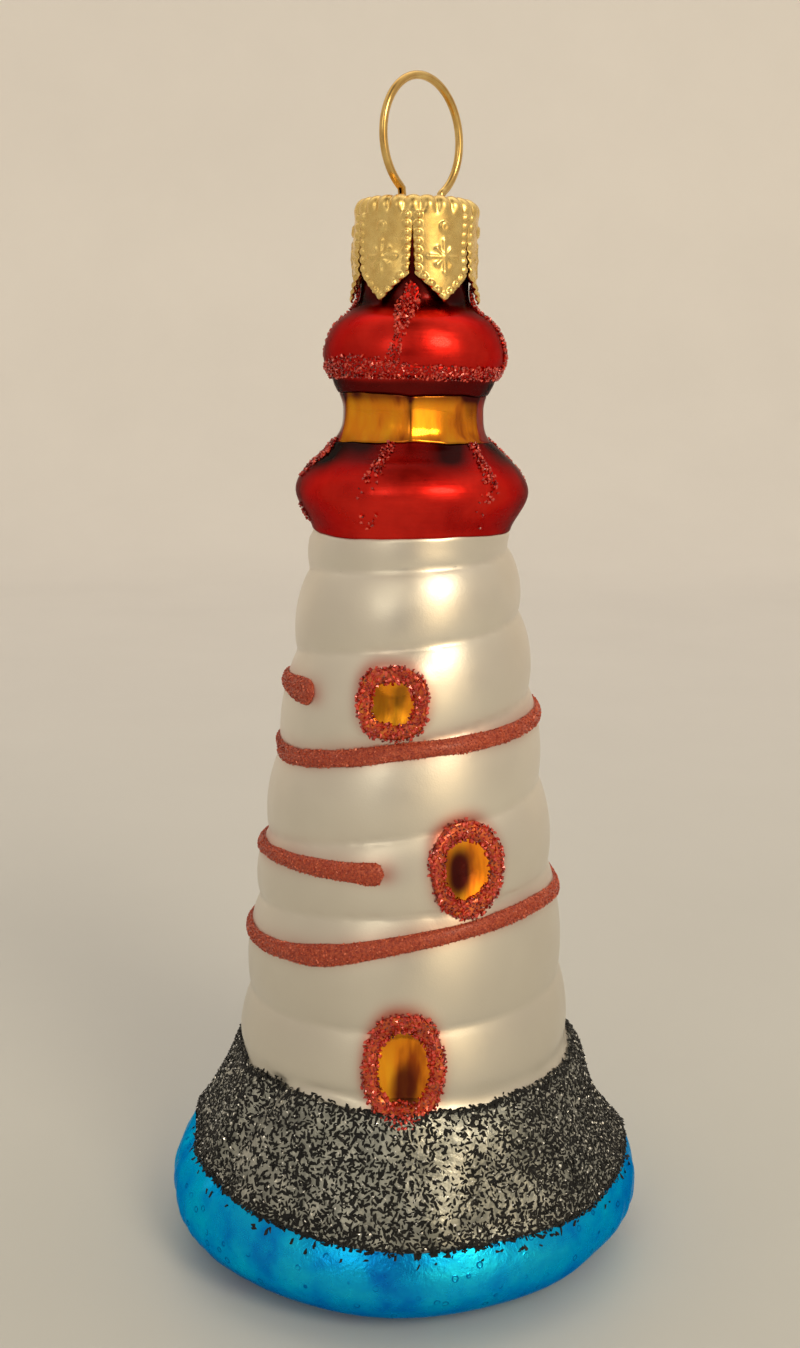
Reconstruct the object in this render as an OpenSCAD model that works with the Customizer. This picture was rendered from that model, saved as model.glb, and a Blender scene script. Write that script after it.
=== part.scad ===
// Blown-glass lighthouse ornament: a silvered glass bottle shape with a lacquered and glittered
// skin, a crimped metal cap over its neck, and a wire hanger held in the cap.
// Millimetres, +Z up, origin at the middle of the ring that it stands on.

/* [Foot] */
// Radius of the blue foot at its widest
foot_r = 24.5; // [23.5:0.5:30]
// Height of the foot, where the rocks start
foot_h = 10; // [8:0.5:12]
// Inner radius of the flat ring that the foot stands on
rest_in_r = 13; // [9:0.5:14]
// Outer radius of the flat ring that the foot stands on
rest_out_r = 17; // [15:0.5:18]
// Height of the dimple under the foot
dimple_h = 2.5; // [1.5:0.5:4]

/* [Rocks] */
// Height of the rocks above the foot
rock_h = 11.5; // [9:0.5:14]
// Radius where the foot ends and the rocks start
rock_foot_r = 23; // [21:0.5:24]
// Thickness of the crushed stone coat
rock_t = 0.5; // [0.3:0.1:0.6]

/* [Tower] */
// Height of the white tower
tower_h = 54; // [45:1:65]
// Radius of the tower where the rocks end
tower_foot_r = 17.4; // [16:0.2:18.4]
// Radius of the tower under the gallery
tower_top_r = 9.9; // [9:0.1:10.4]
// How far the tower's side swells past a straight cone
belly = 0.7; // [0:0.1:1]
// Number of soft rings up the tower
ring_count = 6; // [4:1:8]
// Depth of the grooves between rings
ring_depth = 0.4; // [0:0.05:0.5]

/* [Gallery, lantern and dome] */
// Radius of the red gallery
gallery_r = 11.5; // [10.75:0.25:12.5]
// Height of the gallery
gallery_h = 8.8; // [8:0.2:10]
// Radius of the lantern room
lantern_r = 7.1; // [6.4:0.1:7.4]
// Height of the lantern room
lantern_h = 5.4; // [5:0.2:8]
// Radius of the dome
dome_r = 8.85; // [8.4:0.05:9.6]
// Height of the dome
dome_h = 7.7; // [7:0.1:9]

/* [Neck and cap] */
// Outer radius of the glass neck
neck_r = 5.2; // [4.8:0.1:5.4]
// Height of the neck above the dome
neck_h = 7; // [6:0.5:8]
// Gap between the neck and the cap's skirt
cap_gap = 0.55; // [0.3:0.05:0.8]
// Height of the cap
cap_h = 10.3; // [9:0.1:11]
// Thickness of the cap's sheet
cap_t = 0.35; // [0.25:0.05:0.5]
// Number of tabs round the cap's skirt
tab_count = 6; // [4:2:8]
// Depth of the notches between the tabs
notch_h = 2.6; // [1.5:0.1:3]
// Width of the slit above each notch
slit_w = 0.5; // [0.3:0.1:0.8]
// Height of the slit above each notch
slit_h = 4.5; // [3:0.1:5]

/* [Hanger] */
// Diameter of the hanger's wire
wire_d = 0.8; // [0.6:0.05:1]
// Outer diameter of the hanger's loop
loop_d = 12.3; // [11:0.1:14]
// Height of the loop's top above the cap
loop_h = 12; // [10:0.5:13]
// Distance between the two legs where they pass through the cap
leg_gap = 5.6; // [4:0.1:5.8]
// How far the loop is turned from facing the front
loop_turn = 50; // [0:1:60]
// How far the loop sits off the cap's middle, along its own width
loop_shift = 0.8; // [0:0.1:1.2]

/* [Skin] */
// Wall of the blown glass
glass_wall = 1; // [0.8:0.1:1.2]
// Thickness of the lacquer
lacquer_t = 0.15; // [0.1:0.05:0.25]
// Thickness of the glitter lines
glitter_t = 0.45; // [0.3:0.05:0.6]
// Gap between one layer and the next
layer_gap = 0.06; // [0.05:0.01:0.1]

/* [Door and windows] */
// Width of the door over its glitter rim
door_w = 7.7; // [6:0.1:8.4]
// Height of the door over its rim
door_h = 10.8; // [9:0.1:11.4]
// Height of the door's centre above the resting ring
door_z = 24.8; // [24:0.1:27]
// Width of the lower windows over their rims
low_window_w = 7.4; // [6:0.1:8.4]
// Height of the lower windows over their rims
low_window_h = 9.3; // [7:0.1:10]
// Width of the upper windows over their rims
high_window_w = 6.6; // [5:0.1:7.4]
// Height of the upper windows over their rims
high_window_h = 6.8; // [5:0.1:7.4]
// Width of the glitter rims
rim_w = 1.3; // [1:0.1:1.6]
// Clear height between a window's rim and the stripe below it
window_rise = 0.5; // [0.3:0.1:0.8]

/* [Stripes and ribs] */
// Height of the glitter stripes
stripe_w = 1.5; // [1.2:0.1:1.8]
// Height of the band round the dome's lower edge
hem_w = 1.9; // [1.4:0.1:2.2]
// Width of the glitter ribs
rib_w = 1.5; // [1:0.1:2]
// Number of ribs on the gallery
gallery_ribs = 6; // [4:1:8]
// Number of ribs on the dome
dome_ribs = 4; // [3:1:6]

/* [Hidden] */
$fn = 64;

// Levels where one part of the glass gives way to the next
rock_z = foot_h;
tower_z = rock_z + rock_h;
gallery_z = tower_z + tower_h;
lantern_z = gallery_z + gallery_h;
dome_z = lantern_z + lantern_h;
neck_z = dome_z + dome_h;
neck_top_z = neck_z + neck_h;
cap_r = neck_r + cap_gap + cap_t;
cap_z = neck_z - 0.3;
cap_top_z = cap_z + cap_h;
loop_top_z = cap_top_z + loop_h;

// Directions round the tower, from the front towards +X
door_turn = 0;
low_window_turn = 23;
high_window_turn = -7;
back_turn = 180;
first_gallery_rib = -17;
first_dome_rib = -5;
first_notch = -3;

// Where a stripe passes: [turn, height above the tower's foot as a share of its height]
high_start = low_window_turn - back_turn + 25; // clear of the lower window behind
low_path = [[-150, 0.212], [-90, 0.226], [-33, 0.247], [0, 0.291], [45, 0.322], [90, 0.312],
    [180, 0.352], [270, 0.392], [352, 0.413]];
high_path = [[high_start, 0.582], [-90, 0.59], [-51, 0.592], [0, 0.631], [90, 0.657], [180, 0.686],
    [270, 0.715], [314, 0.711]];
stripe_step = 6;

clear_gap = 0.05;
curve_steps = 4;
ring_steps = 6;
oval_steps = 36;
loop_steps = 40;
wire_sides = 12;
leg_flare = 0.2;
hole_gap = 0.2;
leg_in_neck = 3;
far = 60;

// A smooth curve through a list of points, with curve_steps lines from each point to the next
function along(a, b, c, d, t) = 0.5 * (2 * b + (c - a) * t + (2 * a - 5 * b + 4 * c - d) * t * t
    + (3 * b - a - 3 * c + d) * t * t * t);
function curve(p) = [for (i = [0 : len(p) - 2], s = [0 : curve_steps - 1])
    along(p[max(i - 1, 0)], p[i], p[i + 1], p[min(i + 2, len(p) - 1)], s / curve_steps)];

// The height of a path at one turn, straight from point to point
function path_z(path, turn) = tower_z + tower_h * lookup(turn, path);

// The tower's side: a slight swell, with soft rings
function tower_r(z) =
    let (share = (z - tower_z) / tower_h)
    tower_foot_r + (tower_top_r - tower_foot_r) * share
        + belly * 4 * share * (1 - share)
        - ring_depth * (0.5 + 0.5 * cos(360 * ring_count * share));

// The outside of the glass, from the dimple to the neck's mouth
dimple_line = [for (t = [0 : 5]) [rest_in_r * t / 5, dimple_h * (0.5 + 0.5 * cos(36 * t))]];
foot_line = curve([[rest_out_r, 0], [rest_out_r + (foot_r - rest_out_r) * 0.58, foot_h * 0.13],
    [rest_out_r + (foot_r - rest_out_r) * 0.9, foot_h * 0.34], [foot_r, foot_h * 0.57],
    [foot_r - 0.35, foot_h * 0.78], [rock_foot_r, rock_z]]);
rock_line = curve([[rock_foot_r, rock_z], [rock_foot_r - 1.9, rock_z + rock_h * 0.35],
    [rock_foot_r - 3.3, rock_z + rock_h * 0.65], [tower_foot_r + 0.75, rock_z + rock_h * 0.87],
    [tower_foot_r - ring_depth, tower_z]]);
tower_line = [for (i = [0 : ring_count * ring_steps - 1])
    let (z = tower_z + tower_h * i / (ring_count * ring_steps)) [tower_r(z), z]];
gallery_line = curve([[tower_r(gallery_z), gallery_z], [gallery_r - 1.1, gallery_z + gallery_h * 0.17],
    [gallery_r - 0.1, gallery_z + gallery_h * 0.37], [gallery_r - 0.05, gallery_z + gallery_h * 0.5],
    [gallery_r - 1.4, gallery_z + gallery_h * 0.72], [lantern_r + 1.5, gallery_z + gallery_h * 0.86],
    [lantern_r + 0.15, lantern_z]]);
lantern_line = curve([[lantern_r + 0.15, lantern_z], [lantern_r, lantern_z + lantern_h * 0.5],
    [lantern_r + 0.2, dome_z]]);
dome_line = curve([[lantern_r + 0.2, dome_z], [dome_r - 0.8, dome_z + dome_h * 0.13],
    [dome_r - 0.1, dome_z + dome_h * 0.27], [dome_r, dome_z + dome_h * 0.4],
    [dome_r - 0.3, dome_z + dome_h * 0.56], [dome_r - 1.2, dome_z + dome_h * 0.77],
    [neck_r + 1.1, dome_z + dome_h * 0.87], [neck_r, neck_z + 0.4]]);
neck_line = [[neck_r, neck_z + 0.4], [neck_r, neck_top_z]];

// A line moved sideways by d, to its right when d is positive
function unit(v) = v / norm(v);
function side(a, b) = let (v = unit(b - a)) [v[1], -v[0]];
function moved(p, d) = [for (i = [0 : len(p) - 1])
    let (before = side(p[max(i - 1, 0)], p[max(i, 1)]))
    let (after = side(p[min(i, len(p) - 2)], p[min(i + 1, len(p) - 1)]))
    let (mean = unit(before + after))
    p[i] + mean * d / (mean * after)];
function reversed(p) = [for (i = [len(p) - 1 : -1 : 0]) p[i]];
function between(p, low, high) = [for (q = p) if (q[1] >= low && q[1] <= high) q];

skin_line = concat(foot_line, rock_line, tower_line, gallery_line, lantern_line, dome_line, neck_line);

// The skin's point at height z, on the line moved out by d
function at(p, z) = [lookup(z, [for (q = p) [q[1], q[0]]]), z];

// A band of the skin between two heights, from d to d + t outside the glass
function band(low, high, d, t) =
    let (near_line = moved(skin_line, d), far_line = moved(skin_line, d + t))
    concat([at(near_line, low)], between(near_line, low + clear_gap, high - clear_gap),
        [at(near_line, high)], [at(far_line, high)],
        reversed(between(far_line, low + clear_gap, high - clear_gap)), [at(far_line, low)]);

module ring_band(low, high, d, t) {
    rotate_extrude()
        polygon(band(low, high, d, t));
}

// An upright oval, squarer as power grows, as an outline w wide and h high
function oval(w, h, power) = [for (i = [0 : oval_steps - 1])
    let (a = 360 * i / oval_steps, c = cos(a), s = sin(a))
    [w / 2 * sign(c) * pow(abs(c), 2 / power), h / 2 * sign(s) * pow(abs(s), 2 / power)]];

// An oval bar from the axis out to one side, through the wall at height z
module oval_bar(turn, z, w, h, power) {
    rotate([0, 0, turn])
        translate([0, 0, z])
            rotate([90, 0, 0])
                linear_extrude(far)
                    polygon(oval(w, h, power));
}

// Every opening left in the lacquer: [turn, z, width, height, power]
function low_window_z(turn) = path_z(low_path, turn) + stripe_w / 2 + window_rise + low_window_h / 2;
function high_window_z(turn) = path_z(high_path, turn) + stripe_w / 2 + window_rise + high_window_h / 2;
function opening(name) =
    name == "door" ? [door_turn, door_z, door_w, door_h, 2.3]
    : name == "low" ? [low_window_turn, low_window_z(low_window_turn), low_window_w, low_window_h, 2.2]
    : name == "high" ? [high_window_turn, high_window_z(high_window_turn), high_window_w, high_window_h, 2.7]
    : name == "back_low" ? [back_turn + low_window_turn, low_window_z(back_turn + low_window_turn),
        low_window_w, low_window_h, 2.2]
    : [back_turn + high_window_turn, high_window_z(back_turn + high_window_turn),
        high_window_w, high_window_h, 2.7];
opening_names = ["door", "low", "high", "back_low", "back_high"];

// The bar of an opening, smaller all round by inset
module opening_bar(name, inset) {
    o = opening(name);
    oval_bar(o[0], o[1], o[2] - 2 * inset, o[3] - 2 * inset, o[4]);
}

// The pane: amber lacquer inside the rim
module pane(name) {
    o = opening(name);
    color("orange")
        intersection() {
            ring_band(o[1] - o[3] / 2, o[1] + o[3] / 2, layer_gap, lacquer_t);
            opening_bar(name, rim_w + clear_gap);
        }
}

// The rim: a raised glitter line round the pane
module rim(name) {
    o = opening(name);
    color("firebrick")
        difference() {
            intersection() {
                ring_band(o[1] - o[3] / 2 - 1, o[1] + o[3] / 2 + 1, layer_gap, lacquer_t + glitter_t);
                opening_bar(name, 0);
            }
            opening_bar(name, rim_w);
        }
}

// A glitter line that climbs round the tower, swept as one solid with a flat back
coat_line = moved(skin_line, layer_gap + lacquer_t);
function stripe_section(path, turn, grow) =
    let (z = path_z(path, turn), half = stripe_w / 2 * grow, base = layer_gap + 2 * clear_gap)
    let (low = at(coat_line, z - half)[0], mid = at(coat_line, z)[0], high = at(coat_line, z + half)[0])
    [for (q = [[low + base, -half], [low + base + glitter_t * 0.6 * grow, -half * 0.8],
        [mid + base + glitter_t * grow, -half * 0.25], [mid + base + glitter_t * grow, half * 0.25],
        [high + base + glitter_t * 0.6 * grow, half * 0.8], [high + base, half]])
        [q[0] * sin(turn), -q[0] * cos(turn), z + q[1]]];
module stripe(path) {
    first = path[0][0];
    last = path[len(path) - 1][0];
    count = round((last - first) / stripe_step);
    rings = [for (i = [0 : count])
        stripe_section(path, first + (last - first) * i / count, i == 0 || i == count ? 0.6 : 1)];
    n = len(rings[0]);
    points = [for (ring = rings) for (q = ring) q];
    sides = [for (i = [0 : count - 1], j = [0 : n - 1])
        let (a = i * n + j, b = i * n + (j + 1) % n)
        [a, b, b + n, a + n]];
    color("firebrick")
        polyhedron(points, concat(sides, [[for (j = [n - 1 : -1 : 0]) j]],
            [[for (j = [0 : n - 1]) count * n + j]]));
}

// A glitter rib that runs up the skin at one turn
module rib(turn, low, high, mid_r) {
    width = 2 * asin(rib_w / 2 / mid_r);
    color("firebrick")
        rotate([0, 0, turn - 90 - width / 2])
            rotate_extrude(angle = width)
                polygon(band(low, high, 2 * layer_gap + lacquer_t, glitter_t));
}

module glass_body() {
    outside = concat(dimple_line, skin_line);
    inside = moved(concat([[-0.5, dimple_h]], outside), -glass_wall);
    color("silver")
        rotate_extrude()
            polygon(concat(outside, reversed([for (i = [1 : len(inside) - 1]) i == 1
                ? [0, dimple_h + glass_wall] : inside[i]])));
}

module foot_coat() {
    color("deepskyblue")
        ring_band(0.3, rock_z - clear_gap, layer_gap, lacquer_t);
}

module rock_coat() {
    color("dimgray")
        difference() {
            ring_band(rock_z, tower_z - clear_gap, layer_gap, rock_t);
            opening_bar("door", -clear_gap);
        }
}

module tower_coat() {
    color("whitesmoke")
        difference() {
            ring_band(tower_z, gallery_z - clear_gap, layer_gap, lacquer_t);
            for (name = opening_names)
                opening_bar(name, -clear_gap);
        }
}

module gallery_coat() {
    color("crimson")
        ring_band(gallery_z, lantern_z - clear_gap, layer_gap, lacquer_t);
}

module lantern_coat() {
    color("orange")
        ring_band(lantern_z, dome_z - clear_gap, layer_gap, lacquer_t);
}

module dome_coat() {
    color("crimson")
        ring_band(dome_z, neck_z, layer_gap, lacquer_t);
}

module dome_hem() {
    color("firebrick")
        ring_band(dome_z + 0.5, dome_z + 0.5 + hem_w, 2 * layer_gap + lacquer_t, glitter_t);
}

// The cap: a thin cup with rounded shoulders, pointed tabs and two holes for the wire
module cap() {
    shoulder = 1.2;
    skirt_z = cap_top_z - shoulder;
    outer = [for (a = [0 : 15 : 90]) [cap_r - shoulder + shoulder * cos(a), skirt_z + shoulder * sin(a)]];
    inner = [for (a = [90 : -15 : 0])
        [cap_r - shoulder + (shoulder - cap_t) * cos(a), skirt_z + (shoulder - cap_t) * sin(a)]];
    pitch = 360 / tab_count;
    notch_w = 2 * cap_r * tan(pitch / 2);
    color("gold")
        difference() {
            rotate_extrude()
                polygon(concat([[cap_r, cap_z]], outer, [[0, cap_top_z], [0, cap_top_z - cap_t]],
                    inner, [[cap_r - cap_t, cap_z]]));
            for (i = [0 : tab_count - 1])
                rotate([0, 0, first_notch + i * pitch])
                    translate([0, -1, cap_z])
                        rotate([90, 0, 0])
                            linear_extrude(cap_r)
                                polygon([[-notch_w / 2, -1], [-notch_w / 2, 0], [-slit_w / 2, notch_h],
                                    [-slit_w / 4, notch_h + slit_h], [slit_w / 4, notch_h + slit_h],
                                    [slit_w / 2, notch_h], [notch_w / 2, 0], [notch_w / 2, -1]]);
            rotate([0, 0, loop_turn])
                for (s = [-1, 1])
                    translate([s * leg_gap / 2 + loop_shift, 0, cap_top_z - 2 * cap_t])
                        cylinder(d = wire_d + 2 * hole_gap, h = 3 * cap_t);
        }
}

// The hanger: a round loop whose ends run down through the cap and spread inside the neck
module hanger() {
    mid_r = (loop_d - wire_d) / 2;
    loop_z = loop_top_z - loop_d / 2;
    open_angle = asin((leg_gap / 2 + leg_flare) / mid_r);
    spread = neck_r - glass_wall - wire_d / 2 - 2 * layer_gap;
    right = [[spread, neck_top_z - leg_in_neck], [leg_gap / 2 + loop_shift, cap_top_z - cap_t]];
    left = [[loop_shift - leg_gap / 2, cap_top_z - cap_t], [-spread, neck_top_z - leg_in_neck]];
    loop = [for (i = [0 : loop_steps])
        let (a = -90 + open_angle + (360 - 2 * open_angle) * i / loop_steps)
        [loop_shift + mid_r * cos(a), loop_z + mid_r * sin(a)]];
    color("gold")
        rotate([0, 0, loop_turn])
            bent_wire(concat(right, loop, left));
}

// A wire bent along a line of points [x, z]
module bent_wire(line) {
    last = len(line) - 1;
    points = [for (i = [0 : last])
        let (before = unit(line[max(i, 1)] - line[max(i, 1) - 1]))
        let (after = unit(line[min(i, last - 1) + 1] - line[min(i, last - 1)]))
        let (run = unit(before + after), out = [run[1], -run[0]] / (run * after))
        for (j = [0 : wire_sides - 1])
            let (a = 360 * j / wire_sides, q = line[i] + out * wire_d / 2 * cos(a))
            [q[0], wire_d / 2 * sin(a), q[1]]];
    sides = [for (i = [0 : last - 1], j = [0 : wire_sides - 1])
        let (a = i * wire_sides + j, b = i * wire_sides + (j + 1) % wire_sides)
        [a, b, b + wire_sides, a + wire_sides]];
    polyhedron(points, concat(sides, [[for (j = [wire_sides - 1 : -1 : 0]) j]],
        [[for (j = [0 : wire_sides - 1]) last * wire_sides + j]]));
}

glass_body();
foot_coat();
rock_coat();
tower_coat();
gallery_coat();
lantern_coat();
dome_coat();
pane("door");  // door_pane
rim("door");  // door_rim
pane("low");  // low_window_pane
rim("low");  // low_window_rim
pane("high");  // high_window_pane
rim("high");  // high_window_rim
pane("back_low");  // back_low_window_pane
rim("back_low");  // back_low_window_rim
pane("back_high");  // back_high_window_pane
rim("back_high");  // back_high_window_rim
stripe(low_path);  // low_stripe
stripe(high_path);  // high_stripe
dome_hem();
for (i = [1 : dome_ribs])
    rib(first_dome_rib + (i - 1) * 360 / dome_ribs, dome_z + 0.5 + hem_w + clear_gap, neck_z - 0.4, dome_r);
for (i = [1 : gallery_ribs])
    rib(first_gallery_rib + (i - 1) * 360 / gallery_ribs, gallery_z + 1, lantern_z - 0.2, gallery_r);
cap();
hanger();
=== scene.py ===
import bpy, bmesh, math
import numpy as np
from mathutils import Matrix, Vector
from mathutils.bvhtree import BVHTree


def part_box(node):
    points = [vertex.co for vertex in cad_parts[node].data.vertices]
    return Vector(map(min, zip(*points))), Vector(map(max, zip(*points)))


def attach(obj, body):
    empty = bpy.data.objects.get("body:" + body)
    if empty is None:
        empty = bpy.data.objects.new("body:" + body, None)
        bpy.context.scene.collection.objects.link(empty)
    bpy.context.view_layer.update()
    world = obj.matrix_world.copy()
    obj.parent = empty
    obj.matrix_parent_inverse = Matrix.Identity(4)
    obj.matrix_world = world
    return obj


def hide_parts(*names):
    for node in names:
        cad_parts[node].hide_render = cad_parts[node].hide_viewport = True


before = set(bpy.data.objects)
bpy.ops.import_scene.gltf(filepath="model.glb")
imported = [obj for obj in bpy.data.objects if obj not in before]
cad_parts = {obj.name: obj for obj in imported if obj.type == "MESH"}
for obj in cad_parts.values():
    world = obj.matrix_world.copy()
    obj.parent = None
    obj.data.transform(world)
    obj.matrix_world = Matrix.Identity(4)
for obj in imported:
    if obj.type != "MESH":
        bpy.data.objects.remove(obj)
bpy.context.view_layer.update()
mm = 0.001

ornament = {
    "lacquerLift": 0.2,        # the lacquer stands this far off the glass, mm
    "panes": 6,                # flat sides of the lantern room
    "ringDepth": 0.78,         # how deep the grooves between the tower's rings are
    "grooveTurn": -90,         # the turn of height number firstGroove below
    # heights of the one groove that winds up the tower, every half turn
    "grooves": [10.5, 13.5, 16.5, 21, 27, 29.8, 37, 41.5, 44, 50.4, 52.8, 59.6, 63, 67.4, 71.3, 73.8, 79, 83],
    "firstGroove": 4,
}


def edge(node, top=False):
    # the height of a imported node's lower or upper edge
    low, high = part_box(node)
    return (high.z if top else low.z) / mm


rockZ, towerZ, galleryZ = edge("rock_coat"), edge("tower_coat"), edge("gallery_coat")
lanternZ, domeZ, neckZ = edge("lantern_coat"), edge("dome_coat"), edge("dome_coat", True)
mouthZ = edge("glass_body", True)


def smooth(a, b, x):
    t = np.clip((np.asarray(x, float) - a) / (b - a), 0, 1)
    return t * t * (3 - 2 * t)


def band(x, low, lowIn, highIn, high):
    # 1 from lowIn to highIn, and down to 0 at low and high
    return smooth(low, lowIn, x) * (1 - smooth(highIn, high, x))


def bell(x):
    return np.exp(-x ** 2)


def blur(values, radius):
    width = int(radius * 3)
    kernel = np.exp(-0.5 * (np.arange(-width, width + 1) / radius) ** 2)
    padded = np.pad(values, width, mode="reflect", reflect_type="odd")
    return np.convolve(padded, kernel / kernel.sum(), "valid")


def readWall(step=0.1):
    # the outside of the glass as radius and height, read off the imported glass
    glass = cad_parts["glass_body"].data
    tree = BVHTree.FromPolygons([v.co for v in glass.vertices], [p.vertices for p in glass.polygons])
    start, inward = 60 * mm, Vector((-1, 0, 0))
    heights = np.linspace(0.01, mouthZ - 0.02, 2400)
    radii = np.array([tree.ray_cast(Vector((start, 0, z * mm)), inward)[0].x / mm for z in heights])
    # the tower's own rings are round, so its plain taper is kept and winding rings are added later
    on = (heights > towerZ + 1) & (heights < galleryZ - 1)
    taper = np.polyval(np.polyfit(heights[on], radii[on], 2), heights)
    mix = band(heights, towerZ, towerZ + 1.5, galleryZ - 1.5, galleryZ)
    radii = radii * (1 - mix) + taper * mix
    run = np.concatenate([[0], np.cumsum(np.hypot(np.diff(radii), np.diff(heights)))])
    along = np.arange(0, run[-1], step)
    radii, heights = np.interp(along, run, radii), np.interp(along, run, heights)
    waist = band(heights, lanternZ - 2.5, lanternZ - 0.8, domeZ + 0.2, domeZ + 1.2)
    softer = [blur(radii, 1.5 / step), blur(heights, 1.5 / step)]
    radii = blur(radii, 0.7 / step) * (1 - waist) + softer[0] * waist
    heights = blur(heights, 0.7 / step) * (1 - waist) + softer[1] * waist
    return along, radii, np.maximum.accumulate(heights)


wallRun, wallR, wallZ = readWall()
slopeR, slopeZ = np.gradient(wallR, wallRun), np.gradient(wallZ, wallRun)
slope = np.hypot(slopeR, slopeZ)
normalR, normalZ = slopeZ / slope, -slopeR / slope


def runAt(z):
    return np.interp(z, wallZ, wallRun)


def radiusAt(z):
    return np.interp(z, wallZ, wallR)


def lumps(p, size, seed, waves=14):
    # soft hand-made unevenness: a sum of waves in random directions, about -1 to 1
    rng = np.random.default_rng(seed)
    total = np.zeros(p.shape[:-1])
    for _ in range(waves):
        way = rng.normal(size=3)
        way *= 2 * math.pi / (size * rng.uniform(0.8, 1.8)) / np.linalg.norm(way)
        total += np.sin(p @ way + rng.uniform(0, 2 * math.pi))
    return total / math.sqrt(waves)


def smoothCurve(x, y, at):
    # Catmull-Rom through points spaced evenly in x
    step = x[1] - x[0]
    place = np.clip((at - x[0]) / step, 0, len(x) - 1.0001)
    i = place.astype(int)
    t = place - i
    y = np.asarray(y, float)
    a, b = y[np.maximum(i - 1, 0)], y[i]
    c, d = y[i + 1], y[np.minimum(i + 2, len(x) - 1)]
    square, cube = 2 * a - 5 * b + 4 * c - d, 3 * b - a - 3 * c + d
    return 0.5 * (2 * b + (c - a) * t + square * t ** 2 + cube * t ** 3)


grooveIndex = np.arange(len(ornament["grooves"])) - ornament["firstGroove"]
grooveTurns = ornament["grooveTurn"] + 180 * grooveIndex


def ringSwell(turn, z):
    # height above the groove, as a share of the way to the next one round
    below, above = np.full(z.shape, -1e3), np.full(z.shape, 1e3)
    for wind in range(-3, 8):
        at = turn + 360.0 * wind
        groove = smoothCurve(grooveTurns, ornament["grooves"], at)
        groove = np.where((at < grooveTurns[0]) | (at > grooveTurns[-1]), np.nan, groove)
        below = np.where(groove <= z, np.fmax(below, groove), below)
        above = np.where(groove > z, np.fmin(above, groove), above)
    share = np.clip((z - below) / (above - below), 0, 1)
    return np.sin(math.pi * share) ** 0.65 - 0.74


# shares: height up the tower as a share of it, at each turn from the door
stripes = {
    "low_stripe": {
        "turns": [*range(-150, 331, 30), 352],
        "shares": [.212, .216, .226, .232, .250, .291, .314, .326, .312, .325, .339, .352, .366, .379, .392,
                   .404, .409, .411],
        "width": 1.55,
        "widths": [(-150, 1), (-75, 1), (-45, 1.2), (-28, 1.5), (-12, 1.2), (10, 1), (270, 1), (290, 0.8),
                   (300, 0.95), (330, 1.15), (345, 1.4), (352, 1.5)],
    },
    "high_stripe": {
        "turns": [-132, *range(-120, 301, 30), 314],
        "shares": [.582, .584, .590, .588, .606, .631, .640, .650, .657, .667, .677, .686, .696, .706, .715,
                   .716, .711],
        "width": 1.55,
        "widths": [(-132, 1), (-60, 1.1), (0, 1.05), (40, 1), (275, 1), (292, 1.35), (303, 1.7), (314, 1.75)],
    },
}
# turn from the door, outline from round to square, half width, depth of the dish, and a painted dark reflection
# in the dish:
# across, up and radius as shares of the pane, and strength
openings = {
    "door": {"turn": 0, "square": 2.3, "wide": 3.85, "dish": 0.55, "stain": (0.05, -0.42, 0.5, 0.85)},
    "low_window": {"turn": 23, "square": 2.2, "wide": 3.7, "dish": 0.85, "stain": (-0.2, -0.06, 0.6, 1.0)},
    "high_window": {"turn": -7, "square": 2.7, "wide": 3.3, "dish": 0.5, "stain": (0.25, 0.3, 0.35, 0.6)},
    "back_low_window": {"turn": 203, "square": 2.2, "wide": 3.7, "dish": 0.85, "stain": (0.1, 0.0, 0.4, 0.9)},
    "back_high_window": {"turn": 173, "square": 2.7, "wide": 3.3, "dish": 0.5,
                         "stain": (-0.2, -0.2, 0.35, 0.7)},
}
for key, o in openings.items():
    low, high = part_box(key + "_rim")
    o.update(z=(low.z + high.z) / 2 / mm, tall=(high.z - low.z) / 2 / mm)


def turnGap(a, b):
    return (a - b + 180) % 360 - 180


def stripeHeight(name, turn):
    share = np.interp(turn, stripes[name]["turns"], stripes[name]["shares"])
    return towerZ + share * (galleryZ - towerZ)


def ovalShare(o, turn, z):
    # 0 at the middle of an opening, 1 on the outside of its rim
    across = np.radians(turnGap(turn, o["turn"])) * radiusAt(z)
    share = (np.abs(across) / o["wide"]) ** o["square"] + (np.abs(z - o["z"]) / o["tall"]) ** o["square"]
    return np.where(np.cos(np.radians(turnGap(turn, o["turn"]))) > 0, share ** (1 / o["square"]), 9)


def offCorner(turn):
    # degrees from the nearest corner of the lantern room
    side = 360 / ornament["panes"]
    return np.abs((turn + 2 + side / 2) % side - side / 2)


# clefts in the rocks: turn, depth in mm and half width in degrees
clefts = ((-55, 0.8, 4.5), (58, 0.35, 5), (112, 0.6, 5), (168, 0.7, 6), (-132, 0.6, 5))


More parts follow.
